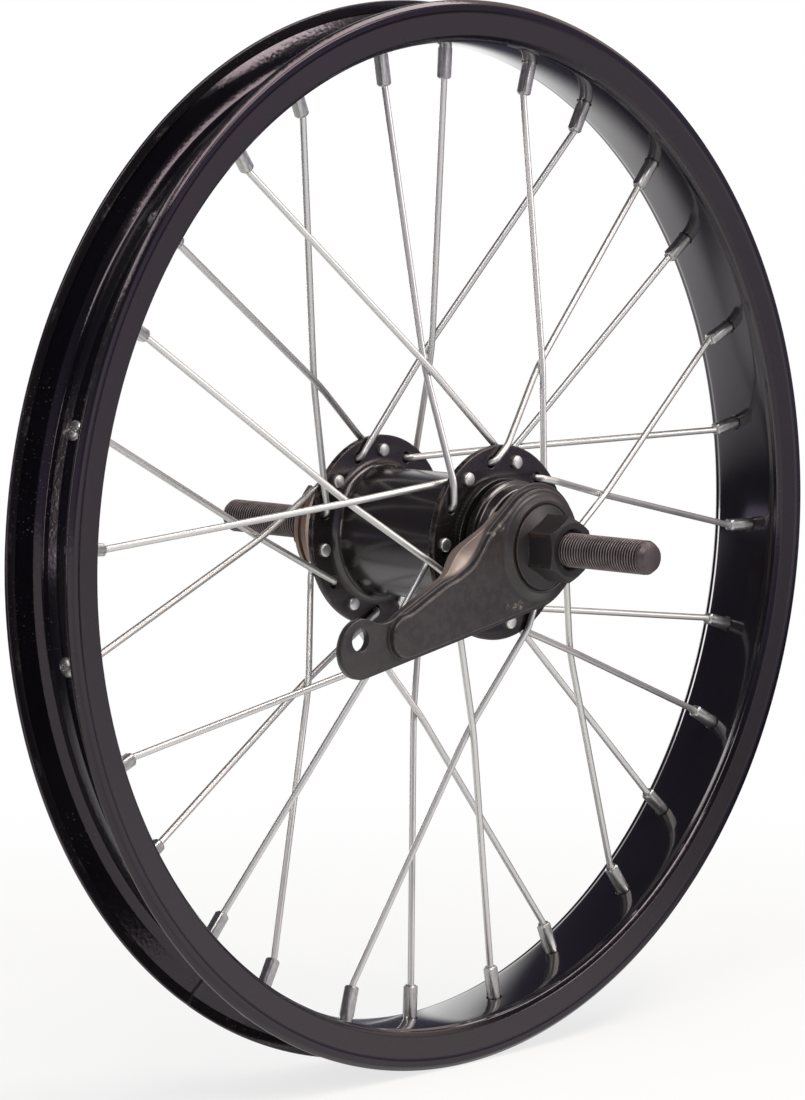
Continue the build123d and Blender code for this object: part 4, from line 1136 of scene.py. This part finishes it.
tone = mixed(dust * 0.35, tone, (0.22, 0.21, 0.2, 1))
dress(shader, {
    "Base Color": tone,
    "Roughness": 0.1 + 0.15 * side_wall + 0.05 * cloud + 0.15 * edge + 0.6 * seam,
    "Specular Tint": (1.0, 0.85, 0.96, 1),
    "Coat Weight": hub_side * 0.9,
    "Coat Roughness": 0.08,
    "Normal": bump(peel, 0.3, 0.1),
})


def punch(angle, along, radius):
    """A rod that cuts a round hole through the rim's bed at an angle."""
    ends = (BED_RADIUS - PUNCH_REACH, FLOOR_RADIUS + PUNCH_REACH)
    return tube([around(angle, reach, along) for reach in ends], [radius, radius], PUNCH_SIDES)


def drilled(shape, *rods):
    """A shape with holes cut by rods, by a boolean that is applied at once."""
    solids = [formed("blank", solid, 1) for solid in (shape, joined(*rods))]
    cut = solids[0].modifiers.new("holes", "BOOLEAN")
    cut.object = solids[1]
    cut.solver = "EXACT"
    bpy.context.view_layer.update()
    cut_mesh = solids[0].evaluated_get(bpy.context.evaluated_depsgraph_get()).to_mesh()
    verts = [vert.co.copy() for vert in cut_mesh.vertices]
    faces = [tuple(face.vertices) for face in cut_mesh.polygons]
    for solid in solids:
        bpy.data.objects.remove(solid)
    return verts, faces


rods = [punch(VALVE_ANGLE, 0, VALVE_HOLE_RADIUS)]
for number in range(2 * HOLES):
    stagger = -NIPPLE_STAGGER if number % 2 == 0 else NIPPLE_STAGGER
    rods.append(punch(FIRST_NIPPLE["left"] + number * NIPPLE_PITCH, stagger, NIPPLE_HOLE_RADIUS))
hoop = drilled(turned(rounded(rim_corners, True), RIM_SEGMENTS, welded), *rods)
piece("rim_hoop", hoop, rim_paint, "wheel", "rim_paint", "rim")

# Floor, light and camera
# A white table in a dim studio, with a white backdrop. Softboxes stand at the left and the right, a
# strip hangs above, another stands at the far left, and a low panel is set up behind the wheel.
FLOOR_SIZE = 30.0
FLOOR_COLOUR = (0.8, 0.79, 0.775, 1)
ROOM_COLOUR = (0.06, 0.056, 0.076, 1)
HORIZON_COLOUR = (0.36, 0.32, 0.46, 1)
PATCH_COLOUR = (0.75, 0.66, 0.86, 1)
WINDOW_COLOUR = (0.9, 0.76, 0.7, 1)
WHITE = (1, 1, 1, 1)
CAMERA_PLACE = (-0.9888, -0.9294, 0.1495)
CAMERA_RIGHT = Vector((0.6897, -0.7241, 0.0))
CAMERA_UP = Vector((0.0815, 0.0777, 0.9936))
CAMERA_LENS = 149.96
LAMPS = (
    ("left_softbox", (-0.85, -0.5, 1.35), (0.8, 0.8), 10.5, (1.0, 0.985, 0.96)),
    ("left_strip", (-1.58, 0.4, 0.3), (0.16, 0.95), 4.0, (1.0, 0.93, 0.86)),
    ("right_softbox", (0.78, -1.2, 0.57), (0.45, 0.45), 6.5, (1.0, 0.95, 0.9)),
    ("top_strip", (0.35, -0.56, 1.3), (1.9, 0.35), 14.5, (1.0, 0.92, 0.87)),
    ("back_panel", (0.15, 1.5, 0.07), (0.6, 0.4), 2.6, (1.0, 0.98, 0.97)),
)


def rays(any_shade):
    """1 for the camera's rays, and 1 for those that are mirrored or let through."""
    camera, mirror, glass = (
        any_shade.node("ShaderNodeLightPath", output=name)
        for name in ("Is Camera Ray", "Is Glossy Ray", "Is Transmission Ray")
    )
    return camera, mirror.math("MAXIMUM", glass)


floor_z = cad_box[0][2]
half = FLOOR_SIZE / 2
floor_mesh = bpy.data.meshes.new("floor")
floor_corners = [(-half, -half), (half, -half), (half, half), (-half, half)]
floor_mesh.from_pydata([(*corner, floor_z) for corner in floor_corners], [], [(0, 1, 2, 3)])
floor_piece = bpy.data.objects.new("floor", floor_mesh)
bpy.context.scene.collection.objects.link(floor_piece)
table, shader, place = finish("white_table")
x, y, _ = axes(place)
away = (x * x + y * y).math("SQRT")
dress(shader, {"Base Color": FLOOR_COLOUR, "Roughness": 0.9, "Specular IOR Level": 0.0})
camera_ray, mirrored = rays(place)
# the wheel mirrors a white table top and backdrop, and the dim floor of the room beyond them
on_table = step(0.8 * x + 0.6 * y, 0.2, 0.0) * step(0.6 * x - 0.8 * y, -0.32, -0.16)
beyond = mixed(step(y, 0.1, -0.4) * step(away, 0.9, 1.6), ROOM_COLOUR, HORIZON_COLOUR)
far_patch = step(away, 1.4, 2.2) * step(away, 12.0, 6.0) * step(0 - y - 0.95 * x, 0.1, 0.35)
beyond = mixed(far_patch, beyond, PATCH_COLOUR)
backdrop = step(y - 0.85 * x, 0.02, 0.12) * step(y, 0.12, 0.24) * step(x, -0.6, 0.1)
# behind the wheel and to its right the mirrored table is dimmed, a painted shadow of the wheel
behind = step(y, 0.0, 0.08) * (1 - backdrop) * step(x, -0.02, 0.05)
white = (on_table * (1 - 0.65 * behind)).math("MAXIMUM", camera_ray).math("MAXIMUM", backdrop)
shown = mixed(white, beyond, WHITE)
glow = place.node("ShaderNodeEmission", {}, {"Color": shown, "Strength": 1.0})
lit = Shade(shader.outputs["BSDF"])
under_wheel = on_table * step(y, -0.3, -0.1) * step(y, 0.08, 0.0)
share = camera_ray * (0.75 + 0.25 * step(away, 0.2, 0.5)) + mirrored * (1 - 0.5 * under_wheel)
both = place.node("ShaderNodeMixShader", {}, {0: share, 1: lit, 2: glow})
table.node_tree.links.new(both.socket, table.node_tree.nodes["Material Output"].inputs["Surface"])
table.cycles.emission_sampling = "NONE"
floor_mesh.materials.append(table)

world = bpy.data.worlds.new("studio")
world.use_nodes = True
world.cycles.sampling_method = "NONE"
bpy.context.scene.world = world
nodes = world.node_tree.nodes
fill = Shade(nodes["Background"].outputs["Background"])
nodes["Background"].inputs["Color"].default_value = (0.92, 0.94, 1.0, 1)
nodes["Background"].inputs["Strength"].default_value = 0.4
towards = Shade(nodes.new("ShaderNodeTexCoord").outputs["Generated"])
x, y, z = axes(towards)
camera_ray, mirrored = rays(fill)
horizon = step(y, 0.2, -0.3) * step(z, 0.6, 0.05)
backdrop = step(z - 0.35 * x, 0.42, 0.12) * step(y - x + 0.4 * z, 0.0, 0.05) * step(x, -0.9, 0.1)
window = step(x, 0.6, 0.75) * step(z, 0.2, 0.4) * step(z, 0.85, 0.7) * step(y, 0.5, 0.3)
around_wheel = mixed(horizon, ROOM_COLOUR, HORIZON_COLOUR)
around_wheel = mixed(window, around_wheel, WINDOW_COLOUR)
seen = mixed(camera_ray.math("MAXIMUM", backdrop), around_wheel, WHITE)
shown = fill.node("ShaderNodeBackground", {}, {"Color": seen, "Strength": 1.0})
sky = fill.node("ShaderNodeMixShader", {}, {0: camera_ray + mirrored, 1: fill, 2: shown})
world.node_tree.links.new(sky.socket, nodes["World Output"].inputs["Surface"])

for name, spot, panel, power, colour in LAMPS:
    lamp = bpy.data.lights.new(name, "AREA")
    lamp.shape = "RECTANGLE"
    lamp.size, lamp.size_y = panel
    lamp.energy = power
    lamp.color = colour
    holder = bpy.data.objects.new(name, lamp)
    aim = Vector(spot).to_track_quat("Z", "Y").to_matrix().to_4x4()
    holder.matrix_world = Matrix.Translation(spot) @ aim
    bpy.context.scene.collection.objects.link(holder)

camera = bpy.data.objects.new("camera", bpy.data.cameras.new("camera"))
camera.data.lens = CAMERA_LENS
camera.data.sensor_width = 36.0
camera.data.clip_start = 0.05
facing = Matrix((CAMERA_RIGHT, CAMERA_UP, CAMERA_RIGHT.cross(CAMERA_UP))).transposed().to_4x4()
camera.matrix_world = Matrix.Translation(CAMERA_PLACE) @ facing
bpy.context.scene.collection.objects.link(camera)
bpy.context.scene.camera = camera

bpy.context.scene.view_settings.view_transform = "Standard"
